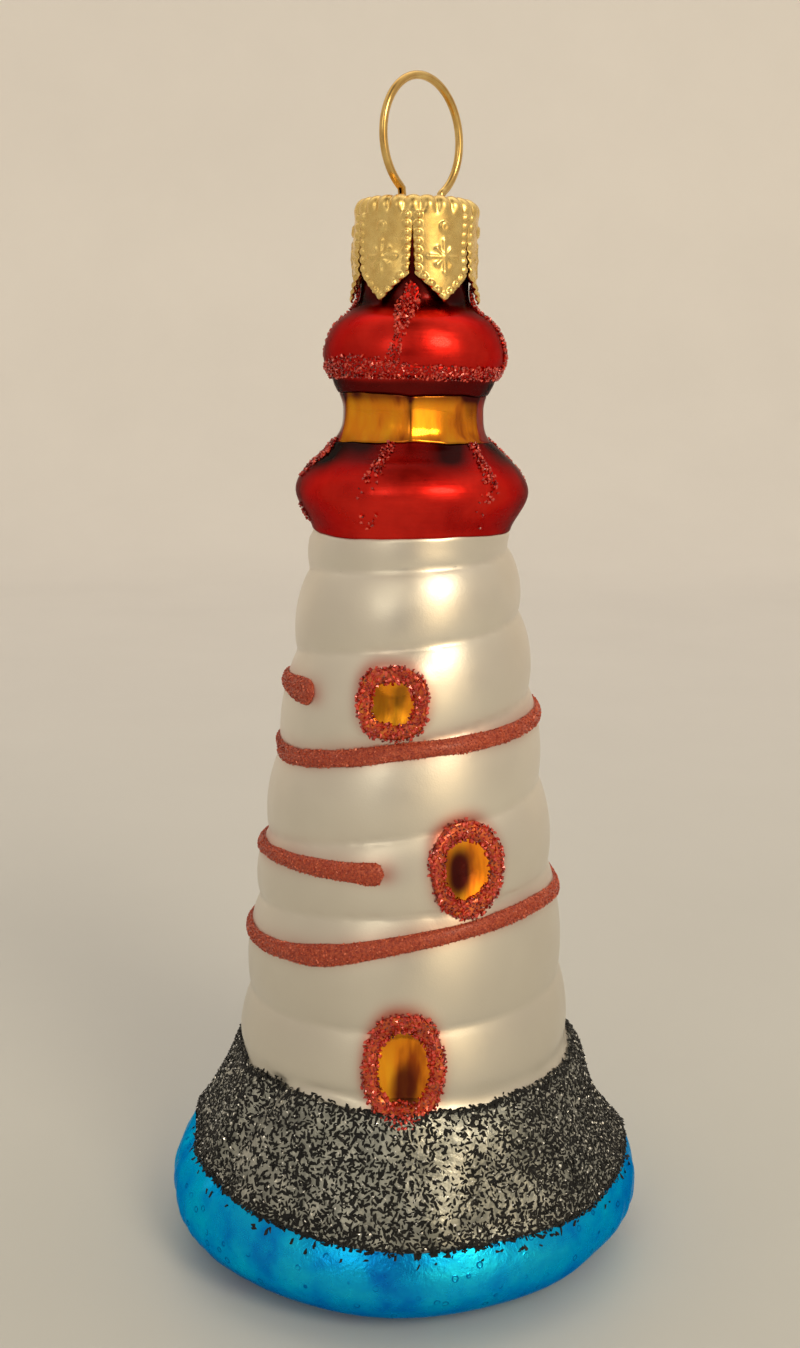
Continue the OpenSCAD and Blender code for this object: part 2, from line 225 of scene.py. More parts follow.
def swell(turn, run):
    # everything hand-made about the glass: how far it stands off its plain turned shape, in mm
    turn, run = np.broadcast_arrays(np.asarray(turn, float), np.asarray(run, float))
    r, z = np.interp(run, wallRun, wallR), np.interp(run, wallRun, wallZ)
    angle = np.radians(turn)
    p = np.stack([r * np.sin(angle), -r * np.cos(angle), z], -1)
    onTower = band(z, towerZ - 1, towerZ + 1.5, galleryZ - 1.2, galleryZ - 0.2)
    out = onTower * ornament["ringDepth"] * ringSwell(turn, z)
    out += onTower * 0.1 * lumps(p, 16, 3)
    # the rocks: soft lumps, a hollow at the left and a few leaning clefts
    onRock = band(z, rockZ - 1, rockZ + 1.5, towerZ - 1.5, towerZ + 0.5)
    out += onRock * 0.34 * lumps(p, 9, 11)
    out -= onRock * 0.55 * bell(turnGap(turn, -88) / 38)
    for where, deep, wide in clefts:
        out -= onRock * deep * bell(turnGap(turn, where + (z - rockZ) * 0.9) / wide)
    # the foot: an uneven round, dented at the front right, wrinkled at its sides
    onFoot = band(z, 0.0, 2.2, rockZ, rockZ + 2)
    out += onFoot * (0.2 * np.cos(angle + 1.9) + 0.2 * lumps(p, 22, 23))
    out += onFoot * 0.75 * bell(turnGap(turn, 82) / 26)
    out -= onFoot * 0.3 * bell(turnGap(turn, 57) / 10) * (1 - smooth(5, 9.5, z))
    wrinkled = bell(turnGap(turn, -72) / 26) + bell(turnGap(turn, 78) / 16)
    wrinkled += 0.8 * bell(turnGap(turn, 170) / 60)
    out += onFoot * wrinkled * 0.1 * lumps(p * [1, 1, 0.55], 2.2, 29)
    # the lantern room: flat panes between soft corners
    onLantern = band(z, lanternZ - 1.4, lanternZ + 1.8, domeZ - 2.4, domeZ + 0.4)
    out -= 0.28 * onLantern
    half = 180 / ornament["panes"]
    flat = math.cos(math.radians(half)) / np.cos(np.radians(half - offCorner(turn)))
    out += onLantern * (r * (flat - 0.93) * 0.5)
    out += onLantern * 0.09 * lumps(p, 4, 31)
    # gallery and dome sag a little
    out += band(z, galleryZ + 0.5, galleryZ + 2.5, neckZ - 1.5, neckZ) * 0.09 * lumps(p, 12, 37)
    # each pane sits in a dish
    for o in openings.values():
        share = ovalShare(o, turn, z)
        out -= o["dish"] * (1 - smooth(0.1, 0.95, share))
        out += 0.14 * bell((share - 1.0) / 0.22)
    return out


def onWall(turn, run, out=0.0):
    # a point on the glass, or standing out from it, in metres
    turn, run, out = np.broadcast_arrays(*(np.asarray(v, float) for v in (turn, run, out)))
    off = swell(turn, run) + out
    r = np.interp(run, wallRun, wallR) + off * np.interp(run, wallRun, normalR)
    z = np.interp(run, wallRun, wallZ) + off * np.interp(run, wallRun, normalZ)
    angle = np.radians(turn)
    return np.stack([r * np.sin(angle), -r * np.cos(angle), z], -1) * mm


def addObject(name, data):
    made = bpy.data.objects.new(name, data)
    bpy.context.scene.collection.objects.link(made)
    return made


def meshFrom(name, points, faces, material):
    mesh = bpy.data.meshes.new(name)
    mesh.from_pydata(np.asarray(points, float).reshape(-1, 3).tolist(), [], [tuple(f) for f in faces])
    mesh.validate()
    mesh.shade_smooth()
    piece = addObject(name, mesh)
    if material:
        mesh.materials.append(material)
    return piece


def gridFaces(rows, cols, wrapRows=False, wrapCols=True, start=0):
    i, j = np.meshgrid(np.arange(rows if wrapRows else rows - 1),
                       np.arange(cols if wrapCols else cols - 1), indexing="ij")
    a, b = i * cols + j, i * cols + (j + 1) % cols
    c, d = ((i + 1) % rows) * cols + (j + 1) % cols, ((i + 1) % rows) * cols + j
    return (np.stack([a, b, c, d], -1).reshape(-1, 4) + start).tolist()


def poleFaces(rows, cols, flip=False):
    # from a grid's first and last rows to the two middle points that follow its points
    faces = []
    for k, row in enumerate((0, (rows - 1) * cols)):
        for j in range(cols):
            pair = [row + j, row + (j + 1) % cols]
            faces.append([rows * cols + k] + (pair if (k == 1) != flip else pair[::-1]))
    return faces


def insideOpening(turn, run):
    z = np.interp(run, wallRun, wallZ)
    inside = np.zeros(np.broadcast(turn, run).shape)
    for o in openings.values():
        inside = np.maximum(inside, 1 - smooth(0.72, 0.86, ovalShare(o, turn, z)))
    return inside


def edgesAround(low, high, cols):
    turns = np.arange(cols) * 360 / cols
    lows, highs = [np.broadcast_to(e(turns) if callable(e) else e, cols) for e in (low, high)]
    return turns[None, :], lows, highs


def coat(name, low, high, out, material, cols=384, rows=120, lip=0.35, inner=-0.3):
    # a closed skin over the glass from run low to run high, tucked into it at its edges and openings
    turns, lows, highs = edgesAround(low, high, cols)
    runs = lows + (highs - lows) * np.linspace(0, 1, rows)[:, None]
    near = np.clip(np.minimum(runs - lows, highs - runs) / lip, 0, 1)
    out = out(runs) if callable(out) else out
    lift = inner + (out - inner) * np.sqrt(near * (2 - near)) * (1 - insideOpening(turns, runs))
    backRows = rows // 4 + 4
    backRuns = lows + (highs - lows) * np.linspace(1, 0, backRows)[1:-1, None]
    points = np.concatenate([onWall(turns, runs, lift), onWall(turns, backRuns, inner * 1.5)])
    return meshFrom(name, points, gridFaces(rows + backRows - 2, cols, wrapRows=True), material)


def openPatch(low, high, out, cols, rows):
    # a bare sheet over the glass, to scatter things on
    turns, lows, highs = edgesAround(low, high, cols)
    runs = lows + (highs - lows) * np.linspace(0, 1, rows)[:, None]
    out = out(runs - lows, highs - runs) if callable(out) else out
    return meshFrom("patch", onWall(turns, runs, out), gridFaces(rows, cols), None)


glass = {"wall": 1.0, "dimple": 2.5, "dimpleR": 13, "runStep": 0.8}


def glassShell(material, cols=112):
    # up the outside, over the mouth, down the inside, with a dimple underneath
    turns = np.arange(cols) * 360 / cols
    ring = np.radians(turns)
    rings = np.array([0.35, 0.7, 0.93]) * wallR[0]
    rise = glass["dimple"] * (0.5 + 0.5 * np.cos(math.pi * np.minimum(rings / glass["dimpleR"], 1)))

    def circle(u, h):
        return np.stack([u * np.sin(ring), -u * np.cos(ring), np.full(cols, h)], -1) * mm

    runs = np.arange(0, wallRun[-1], glass["runStep"])
    under = np.array([circle(u, h) for u, h in zip(rings, rise)])
    skin = onWall(turns[None, :], runs[:, None], 0.0)
    inside = onWall(turns[None, :], runs[::-1, None], -glass["wall"])[:-4]
    floor = np.array([circle(u, h + glass["wall"]) for u, h in zip(rings[::-1], rise[::-1])])
    body = np.concatenate([under, skin, inside, floor])
    middle = [[0, 0, glass["dimple"] * mm], [0, 0, (glass["dimple"] + glass["wall"]) * mm]]
    faces = gridFaces(len(body), cols) + poleFaces(len(body), cols)
    return meshFrom("glassBody", np.concatenate([body.reshape(-1, 3), middle]), faces, material)


def tube(name, sections, material):
    # sections: steps x sides x 3
    steps, sides = sections.shape[:2]
    ends = np.array([sections[0].mean(0), sections[-1].mean(0)])
    faces = gridFaces(steps, sides) + poleFaces(steps, sides)
    return meshFrom(name, np.concatenate([sections.reshape(-1, 3), ends]), faces, material)


def readPoints(piece):
    # each point's turn from the door, and its place in mm
    co = np.zeros(len(piece.data.vertices) * 3)
    piece.data.vertices.foreach_get("co", co)
    co = co.reshape(-1, 3) / mm
    return np.degrees(np.arctan2(co[:, 0], -co[:, 1])), co


def setValue(piece, name, values):
    layer = piece.data.attributes.new(name, "FLOAT", "POINT")
    values = np.broadcast_to(np.clip(values, 0, 1), len(piece.data.vertices))
    layer.data.foreach_set("value", values.astype(np.float32))


print("shape functions ready")


def finish(name, colour, metallic, roughness, coatWeight=0.0, coatRoughness=0.05, ior=1.5,
           rimTint=(1, 1, 1)):
    material = bpy.data.materials.new(name)
    material.use_nodes = True
    values = {"Base Color": (*colour, 1), "Metallic": metallic, "Roughness": roughness, "IOR": ior,
              "Coat Weight": coatWeight, "Coat Roughness": coatRoughness, "Specular Tint": (*rimTint, 1)}
    for socket, value in values.items():
        material.node_tree.nodes["Principled BSDF"].inputs[socket].default_value = value
    return material


def node(material, kind, **settings):
    made = material.node_tree.nodes.new(kind)
    for key, value in settings.items():
        if hasattr(made, key):
            setattr(made, key, value)
        else:
            made.inputs[key.replace("_", " ")].default_value = value
    return made


def link(material, a, b):
    material.node_tree.links.new(a, b)


def noise(material, size, detail=3.0, roughness=0.55, squash=(1, 1, 1), kind="noise"):
    # size in mm of one blotch
    where = node(material, "ShaderNodeTexCoord")
    scale = node(material, "ShaderNodeMapping")
    scale.inputs["Scale"].default_value = [1 / (size * mm) * s for s in squash]
    link(material, where.outputs["Object"], scale.inputs["Vector"])
    if kind == "noise":
        made = node(material, "ShaderNodeTexNoise", Scale=1.0, Detail=detail, Roughness=roughness)
        link(material, scale.outputs["Vector"], made.inputs["Vector"])
        return made.outputs["Fac"]
    made = node(material, "ShaderNodeTexVoronoi", Scale=1.0)
    link(material, scale.outputs["Vector"], made.inputs["Vector"])
    return made.outputs["Distance"]


def ramp(material, source, stops):
    made = node(material, "ShaderNodeValToRGB")
    elements = made.color_ramp.elements
    while len(elements) < len(stops):
        elements.new(0.5)
    for element, (position, colour) in zip(elements, stops):
        element.position = position
        element.color = (*colour, 1) if len(colour) == 3 else colour
    link(material, source, made.inputs["Fac"])
    return made.outputs["Color"]


def grey(v):
    return (v, v, v)


def spread(material, source, low, high, fromLow=0.3, fromHigh=0.7):
    made = node(material, "ShaderNodeMapRange")
    for key, value in (("From Min", fromLow), ("From Max", fromHigh), ("To Min", low), ("To Max", high)):
        made.inputs[key].default_value = value
    link(material, source, made.inputs["Value"])
    return made.outputs["Result"]


def feed(material, socket, source):
    # into the shader's own socket
    link(material, source, material.node_tree.nodes["Principled BSDF"].inputs[socket])


def place(material, axis):
    # how far along one axis, in metres
    parts = node(material, "ShaderNodeSeparateXYZ")
    link(material, node(material, "ShaderNodeTexCoord").outputs["Object"], parts.inputs[0])
    return parts.outputs[axis]


def bump(material, heights, distance, strength=1.0):
    # heights: list of (source, share); distance in mm
    total = None
    for source, share in heights:
        scaled = node(material, "ShaderNodeMath", operation="MULTIPLY")
        scaled.inputs[1].default_value = share
        link(material, source, scaled.inputs[0])
        if total is None:
            total = scaled.outputs[0]
        else:
            added = node(material, "ShaderNodeMath", operation="ADD")
            link(material, total, added.inputs[0])
            link(material, scaled.outputs[0], added.inputs[1])
            total = added.outputs[0]
    made = node(material, "ShaderNodeBump")
    made.inputs["Strength"].default_value = strength
    made.inputs["Distance"].default_value = distance * mm
    link(material, total, made.inputs["Height"])
    feed(material, "Normal", made.outputs["Normal"])
    return made


def mixColour(material, factor, a, b):
    made = node(material, "ShaderNodeMix", data_type="RGBA")
    for socket, value in ((made.inputs[0], factor), (made.inputs[6], a), (made.inputs[7], b)):
        if isinstance(value, bpy.types.NodeSocket):
            link(material, value, socket)
        elif isinstance(value, (int, float)):
            socket.default_value = value
        else:
            socket.default_value = (*value, 1)
    return made.outputs[2]


def attribute(material, name):
    made = node(material, "ShaderNodeAttribute")
    made.attribute_name = name
    return made.outputs["Fac"]


def pearlLacquer():
    m = finish("pearlLacquer", (0.8, 0.77, 0.7), 0.86, 0.36, 0.2, 0.25)
    blotch = ramp(m, noise(m, 9, 2), [(0.3, (0.76, 0.70, 0.61)), (0.7, (0.82, 0.765, 0.67))])
    # painted reflection of the red glitter, mixed into the white
    halo = attribute(m, "halo")
    # painted shade: the white darker towards the bottom of the tower, standing in for darker reflections there
    paintedLowShade = mixColour(m, spread(m, place(m, "Z"), 0.0, 1.0, 14 * mm, 50 * mm), (0.68, 0.635, 0.55), blotch)
    toned = mixColour(m, halo, paintedLowShade, (0.52, 0.115, 0.07))
    feed(m, "Base Color", toned)
    feed(m, "Roughness", spread(m, noise(m, 4, 4), 0.31, 0.42))
    bump(m, [(noise(m, 0.16, 2), 0.5), (noise(m, 1.6, 3), 0.8)], 0.02)
    return m


def redLacquer():
    m = finish("redLacquer", (0.5, 0.006, 0.012), 1.0, 0.26, 0.12, 0.12, rimTint=(0.16, 0.006, 0.01))
    tone = ramp(m, noise(m, 5, 4), [(0.3, (0.46, 0.006, 0.004)), (0.7, (0.78, 0.024, 0.014))])
    toned = mixColour(m, attribute(m, "shade"), tone, (0.035, 0.001, 0.001))
    feed(m, "Base Color", toned)
    streaks = noise(m, 1, 3, squash=(0.22, 0.22, 3.2))
    feed(m, "Roughness", spread(m, noise(m, 2.5, 3), 0.24, 0.36))
    bump(m, [(streaks, 0.8), (noise(m, 0.35, 2), 0.3)], 0.03)
    return m


def amberLacquer():
    m = finish("amberLacquer", (0.8, 0.3, 0.01), 1.0, 0.14, 0.2, 0.05, rimTint=(0.22, 0.05, 0.006))
    tone = ramp(m, noise(m, 3, 3, squash=(1.5, 1.5, 0.35)),
                [(0.3, (0.42, 0.075, 0.004)), (0.45, (0.95, 0.28, 0.010)), (0.7, (1.0, 0.42, 0.014))])
    toned = mixColour(m, attribute(m, "shade"), tone, (0.07, 0.004, 0.002))
    feed(m, "Base Color", toned)
    bump(m, [(noise(m, 2.2, 2, squash=(1.4, 1.4, 0.4)), 1.0), (noise(m, 0.5, 2), 0.12)], 0.06)
    return m


def blueLacquer():
    m = finish("blueLacquer", (0.01, 0.32, 0.9), 1.0, 0.27, 0.0, 0.1, rimTint=(0.10, 0.62, 0.95))
    tone = ramp(m, noise(m, 4.5, 5), [(0.28, (0.004, 0.22, 0.80)), (0.46, (0.005, 0.42, 0.95)),
                                      (0.7, (0.012, 0.62, 1.0))])
    # little bubbles, each with a darker ring
    bubble = ramp(m, noise(m, 1.5, kind="voronoi"), [(0.13, grey(0)), (0.19, grey(1)), (0.25, grey(0))])
    some = ramp(m, noise(m, 3.2, 2), [(0.44, grey(0)), (0.52, grey(0.9))])
    ringed = mixColour(m, some, (0, 0, 0), bubble)
    toned = mixColour(m, ringed, tone, (0.002, 0.12, 0.5))
    feed(m, "Base Color", toned)
    feed(m, "Roughness", spread(m, noise(m, 1.6, 3), 0.19, 0.34))
    bump(m, [(noise(m, 0.9, 3), 0.8), (noise(m, 0.3, 2), 0.3), (ringed, 0.5)], 0.09)
    return m


# colour, metallic, roughness, coat, coat roughness and ior; tone: noise size in mm and detail, or the
# grains' own random tone, and the colours it runs through; rough: noise and the roughness it runs
# between; grain: noise and its depth in mm
plainFinishes = {
    "stoneCoat": {
        "look": ((0.4, 0.4, 0.38), 0.9, 0.38, 0.3, 0.2), "rough": (0.7, 3, 0.26, 0.5),
        "grain": (0.45, 3, 0.12),
        "tone": ((2.2, 4), [(0.3, (0.16, 0.165, 0.15)), (0.52, (0.34, 0.345, 0.31)),
                            (0.72, (0.52, 0.515, 0.46))])},
    "jetChip": {"look": ((0.004, 0.004, 0.0045), 0.0, 0.5, 0.0, 0.1, 1.35), "rough": (0.3, 2, 0.3, 0.7)},
    "glintChip": {
        "look": ((0.9, 0.9, 0.88), 0.35, 0.18, 0.6, 0.08),
        "tone": ("own", [(0.0, (0.45, 0.47, 0.48)), (0.6, (0.95, 0.94, 0.90))])},
    "redGrain": {
        "look": ((0.4, 0.02, 0.01), 0.35, 0.2, 1.0, 0.08), "rough": (0.2, 1, 0.12, 0.3),
        "tone": ("own", [(0.0, (0.12, 0.002, 0.002)), (0.45, (0.42, 0.012, 0.007)),
                         (1.0, (0.78, 0.07, 0.035))])},
    "fineGrain": {
        "look": ((0.5, 0.1, 0.05), 0.15, 0.42, 0.3, 0.25),
        "tone": ("own", [(0.0, (0.24, 0.016, 0.008)), (0.5, (0.45, 0.058, 0.024)),
                         (1.0, (0.66, 0.15, 0.075))])},
    "redBed": {   # glue and fine dust under the grains
        "look": ((0.42, 0.05, 0.02), 0.2, 0.45, 0.2, 0.2), "grain": (0.22, 2, 0.08),
        "tone": ((0.3, 3), [(0.3, (0.26, 0.02, 0.01)), (0.7, (0.55, 0.10, 0.035))])},
    "amberBed": {
        "look": ((0.6, 0.15, 0.02), 0.6, 0.3, 0.6, 0.12), "grain": (0.3, 2, 0.05),
        "tone": ((0.8, 3), [(0.3, (0.36, 0.018, 0.006)), (0.6, (0.62, 0.10, 0.012)),
                            (0.8, (0.76, 0.26, 0.02))])},
    "goldSheet": {
        "look": ((0.83, 0.6, 0.24), 1.0, 0.25), "rough": (0.5, 3, 0.18, 0.36), "grain": (0.25, 2, 0.012),
        "tone": ((1.2, 4), [(0.3, (0.80, 0.53, 0.17)), (0.7, (0.98, 0.72, 0.27))])},
    "goldWire": {
        "look": ((0.8, 0.54, 0.2), 1.0, 0.16), "rough": (0.4, 3, 0.12, 0.24),
        "tone": ((2, 3), [(0.3, (0.62, 0.37, 0.11)), (0.7, (0.84, 0.58, 0.22))])},
    "silveredGlass": {"look": ((0.8, 0.8, 0.78), 1.0, 0.12, 0.6, 0.05), "rough": (3, 3, 0.08, 0.2)},
}


def plainFinish(name, look, tone=None, rough=None, grain=None):
    m = finish(name, *look)
    if tone:
        source = attribute(m, "tone") if tone[0] == "own" else noise(m, *tone[0])
        feed(m, "Base Color", ramp(m, source, tone[1]))
    if rough:
        feed(m, "Roughness", spread(m, noise(m, *rough[:2]), *rough[2:]))
    if grain:
        bump(m, [(noise(m, *grain[:2]), 1.0)], grain[2])
    return m


finishes = {made.name: made for made in (pearlLacquer(), redLacquer(), amberLacquer(), blueLacquer())}
for name, spec in plainFinishes.items():
    finishes[name] = plainFinish(name, **spec)
print("finishes ready")


def scatterTree(name):
    # grains of one shape scattered over a surface, turned, tilted, sized and toned at random
    tree = bpy.data.node_groups.new(name, "GeometryNodeTree")
    sockets = {"Geometry": "Geometry", "Spacing": "Float", "Size": "Float", "Size Spread": "Float",
               "Tilt": "Float", "Seed": "Int", "Grain": "Object", "Finish": "Material"}
    for label, kind in sockets.items():
        tree.interface.new_socket(label, in_out="INPUT", socket_type="NodeSocket" + kind)
    tree.interface.new_socket("Geometry", in_out="OUTPUT", socket_type="NodeSocketGeometry")
    kinds = {
        "given": "NodeGroupInput", "result": "NodeGroupOutput", "cover": "GeometryNodeInputNamedAttribute",
        "points": "GeometryNodeDistributePointsOnFaces", "grain": "GeometryNodeObjectInfo",
        "turn": "FunctionNodeRandomValue", "reach": "ShaderNodeCombineXYZ", "back": "ShaderNodeVectorMath",
        "euler": "FunctionNodeEulerToRotation", "rotate": "FunctionNodeRotateRotation",
        "scale": "FunctionNodeRandomValue", "less": "ShaderNodeMath", "more": "ShaderNodeMath",
        "place": "GeometryNodeInstanceOnPoints", "tone": "FunctionNodeRandomValue",
        "store": "GeometryNodeStoreNamedAttribute", "real": "GeometryNodeRealizeInstances",
        "paint": "GeometryNodeSetMaterial",
    }
    made = {key: tree.nodes.new(kind) for key, kind in kinds.items()}
    made["turn"].data_type = "FLOAT_VECTOR"
    for key in ("cover", "scale", "tone", "store"):
        made[key].data_type = "FLOAT"
    made["points"].distribute_method = "POISSON"
    made["rotate"].rotation_space = "LOCAL"
    made["back"].operation = "SCALE"
    made["less"].operation = made["more"].operation = "MULTIPLY_ADD"
    made["store"].domain = "INSTANCE"
    fixed = (("cover", "Name", "cover"), ("points", "Density Max", 6e7), ("reach", "Z", math.pi),
             ("back", "Scale", -1), ("less", 1, -1), ("more", 1, 1), ("store", "Name", "tone"))
    for key, socket, value in fixed:
        made[key].inputs[socket].default_value = value
    wires = (
        ("given", "Geometry", "points", "Mesh"), ("given", "Spacing", "points", "Distance Min"),
        ("cover", "Attribute", "points", "Density Factor"), ("given", "Seed", "points", "Seed"),
        ("given", "Seed", "scale", "Seed"), ("given", "Seed", "turn", "Seed"),
        ("given", "Seed", "tone", "Seed"),
        ("given", "Grain", "grain", "Object"), ("given", "Tilt", "reach", "X"), ("given", "Tilt", "reach", "Y"),
        ("reach", "Vector", "turn", "Max"), ("reach", "Vector", "back", 0), ("back", "Vector", "turn", "Min"),
        ("turn", "Value", "euler", "Euler"), ("points", "Rotation", "rotate", "Rotation"),
        ("euler", "Rotation", "rotate", "Rotate By"), ("given", "Size Spread", "less", 0),
        ("given", "Size", "less", 2), ("given", "Size Spread", "more", 0), ("given", "Size", "more", 2),
        ("less", 0, "scale", 2), ("more", 0, "scale", 3), ("points", "Points", "place", "Points"),
        ("grain", "Geometry", "place", "Instance"), ("rotate", "Rotation", "place", "Rotation"),
        ("scale", 1, "place", "Scale"), ("place", "Instances", "store", "Geometry"),
        ("tone", 1, "store", "Value"),
        ("store", "Geometry", "real", "Geometry"), ("real", "Geometry", "paint", "Geometry"),
        ("given", "Finish", "paint", "Material"), ("paint", "Geometry", "result", "Geometry"),
    )
    for a, output, b, socket in wires:
        tree.links.new(made[a].outputs[output], made[b].inputs[socket])
    return tree


scatterNodes = scatterTree("scatterGrains")


def scatter(carrier, name, spacing, size, sizeSpread, tilt, seed, grain, material):
    # all lengths in mm; the carrier goes away and a plain mesh of grains is left
    modifier = carrier.modifiers.new("scatter", "NODES")
    modifier.node_group = scatterNodes
    values = {"Spacing": spacing * mm, "Size": size, "Size Spread": sizeSpread, "Tilt": tilt, "Seed": seed,
              "Grain": grain, "Finish": material}
    for socket in scatterNodes.interface.items_tree:
        if socket.in_out == "INPUT" and socket.name in values:
            modifier[socket.identifier] = values[socket.name]
    bpy.context.view_layer.update()
    evaluated = carrier.evaluated_get(bpy.context.evaluated_depsgraph_get())
    mesh = bpy.data.meshes.new_from_object(evaluated)
    carrier.modifiers.remove(modifier)
    return addObject(name, mesh)


def drop(*objects):
    for o in objects:
        bpy.data.objects.remove(o)


def together(name, parts):
    # several plain meshes as one piece, each keeping its own finish
    first = parts[0]
    if len(parts) > 1:
        with bpy.context.temp_override(active_object=first, object=first, selected_objects=parts,
                                       selected_editable_objects=parts):
            bpy.ops.object.join()
    first.name = first.data.name = name
    return first


def chip(name, points, seed, squash):
    # a small irregular faceted grain, 1 mm across, made from a few points' hull
    rng = np.random.default_rng(seed)
    form = bmesh.new()
    for _ in range(points):
        way = rng.normal(size=3)
        way /= np.linalg.norm(way)
        form.verts.new(Vector(way * 0.5 * np.array(squash) * rng.uniform(0.85, 1.1)) * mm)
    hull = bmesh.ops.convex_hull(form, input=form.verts)
    loose = {v for v in hull["geom_interior"] if isinstance(v, bmesh.types.BMVert)}
    bmesh.ops.delete(form, geom=list(loose), context="VERTS")
    bmesh.ops.recalc_face_normals(form, faces=form.faces)
    mesh = bpy.data.meshes.new(name)
    form.to_mesh(mesh)
    form.free()
    return addObject(name, mesh)


beadChip = chip("beadChip", 11, 5, (1, 0.95, 0.9))
flakeChip = chip("flakeChip", 7, 8, (1.15, 0.8, 0.3))
dustChip = chip("dustChip", 7, 12, (1, 0.95, 0.9))
glassChip = chip("glassChip", 8, 3, (0.9, 0.8, 0.5))


def glitter(name, bed, carrier, cover, spec, seed, grain=beadChip, material="redGrain"):
    # grains over a carrier, joined to the bed of glue they lie in
    setValue(carrier, "cover", cover)
    grains = scatter(carrier, name + "Grains", spec["spacing"], spec["grain"], spec["grainSpread"], 3.1,
                     seed, grain, finishes[material])
    drop(carrier)
    return together(name, [bed, grains])


def wavyEdge(z, amount, seed, extra=None):
    # an edge painted by hand at height z: returns the run for each turn
    def at(turns):
        angle = np.radians(turns)
        rng = np.random.default_rng(seed)
        wave = sum(np.sin(angle * k + rng.uniform(0, 6.28)) / k ** 0.6 for k in (1, 2, 3, 5, 8, 13, 21))
        heights = z + amount * wave / 3
        return runAt(heights + extra(turns) if extra else heights)
    return at


def rockRise(turns):
    # the rocks reach lower at the front right and stop higher at both sides
    at = (-180, -120, -90, -70, -50, -25, 0, 25, 50, 75, 90, 120, 180)
    rise = (0.6, 1.0, 1.6, 1.2, 0.7, 0.1, -0.4, -0.5, -0.9, -0.3, 0.6, 0.9, 0.6)
    return np.interp(turnGap(turns, 0), at, rise)


lift = ornament["lacquerLift"]
footEdge = runAt(0.25)
rockEdge = wavyEdge(rockZ - 0.2, 0.35, 41, rockRise)
towerEdge = wavyEdge(towerZ - 0.5, 0.55, 42)
galleryEdge = wavyEdge(galleryZ - 0.1, 0.2, 43, lambda t: -0.3 * bell(turnGap(t, -45) / 30))
lanternEdge = wavyEdge(lanternZ - 0.2, 0.3, 44)
domeEdge = wavyEdge(domeZ - 1.0, 0.25, 45)
onNeck, neckEdge = runAt(neckZ + 0.6), runAt(neckZ + 7.4)


def past(edgeAt, more):
    return lambda turns: edgeAt(turns) + more


def domeLift(runs):
    # thinner where the cap goes over it
    return lift + 0.06 - 0.18 * smooth(onNeck - 2, onNeck, runs)


# each coat: lower and upper edge, how far it stands off the glass, finish, points round and up
coats = {
    "foot": (footEdge, past(rockEdge, 0.6), lift, "blueLacquer", 380, 76),
    "tower": (past(towerEdge, -1.2), past(galleryEdge, 0.4), lift, "pearlLacquer", 300, 160),
    "gallery": (galleryEdge, past(lanternEdge, 0.3), lift + 0.06, "redLacquer", 256, 70),
    "lantern": (lanternEdge, past(domeEdge, 0.3), lift, "amberLacquer", 256, 54),
    "dome": (domeEdge, neckEdge, domeLift, "redLacquer", 256, 84),
}
pieces = {"glass_body": glassShell(finishes["silveredGlass"])}
for name, (low, high, out, material, cols, rows) in coats.items():
    pieces[name + "_coat"] = coat(name + "Lacquer", low, high, out, finishes[material], cols, rows)


def thickLacquerAndShade(piece):
    # the lacquer lies thicker and darker beside the lantern, with painted shade under the dome and on the
    # gallery's top there, and painted shadow up round the neck under the cap
    co = readPoints(piece)[1]
    z, patch = co[:, 2], lumps(co * [1, 1, 0.8], 5.5, 48)
    over, below = z - domeZ, lanternZ - z
    shade = 0.85 * smooth(1.0, 0.2, over + 0.2 * patch) * smooth(-3, -2, over)
    shade += (0.70 + 0.32 * patch) * smooth(3.8, 1.4, below) * smooth(-1, 0, below)
    shade += (0.88 + 0.12 * patch) * smooth(neckZ - 1.2, neckZ + 0.4, z + 0.3 * patch)
    setValue(piece, "shade", shade)


def lanternShadeAndReflections(piece):
    # painted shade and painted dark reflections: darker above and below, down the crease at the front and in a
    # few upright smears
    turn, co = readPoints(piece)
    z = co[:, 2]
    shade = 0.75 * bell((domeZ - 0.9 - z) / 0.7) + 0.45 * bell((z - lanternZ) / 0.7)
    smear = lumps(co * [1, 1, 0.22], 3.4, 47)
    shade += 0.55 * smooth(0.7, 1.5, smear) * smooth(lanternZ, domeZ - 2, z)
    shade += 0.7 * bell(offCorner(turn) / 2.6) * smooth(lanternZ - 1, domeZ - 2, z)
    setValue(piece, "shade", shade)


lanternShadeAndReflections(pieces["lantern_coat"])
thickLacquerAndShade(pieces["gallery_coat"])
thickLacquerAndShade(pieces["dome_coat"])
print("lacquer done")


def stripeLine(name, step=1.5):
    first, last = stripes[name]["turns"][0], stripes[name]["turns"][-1]
    turns = np.linspace(first, last, int((last - first) / step))
    heights = np.pad(stripeHeight(name, turns), 8, mode="reflect", reflect_type="odd")
    return turns, np.convolve(heights, np.ones(17) / 17, "valid")


def paintRedReflection(piece):
    # painted reflection of the red glitter in the silvering under the white: a blush of red beside every line
    # of glitter, strongest just above it
    turn, co = readPoints(piece)
    z, r = co[:, 2], np.hypot(co[:, 0], co[:, 1])
    halo = np.zeros(len(co))
    for o in openings.values():
        share = ovalShare(o, turn, z - 0.45)
        reach = (share - 1) * (o["wide"] + o["tall"]) / 2
        halo = np.maximum(halo, 0.85 * bell(np.maximum(reach + 0.25, 0) / 0.85))
    for name in stripes:
        turns, heights = stripeLine(name)
        for wind in range(-1, 2):
            at = turn + 360 * wind
            nearest = np.clip(at, turns[0], turns[-1])
            beside = np.radians(at - nearest) * r
            above = z - np.interp(nearest, turns, heights)
            near = np.hypot(beside / 1.3, np.where(above > 0, above / 1.45, above / 0.95))
            halo = np.maximum(halo, 0.62 * bell(near))
    setValue(piece, "halo", halo * (0.8 + 0.2 * lumps(co, 6, 51)))


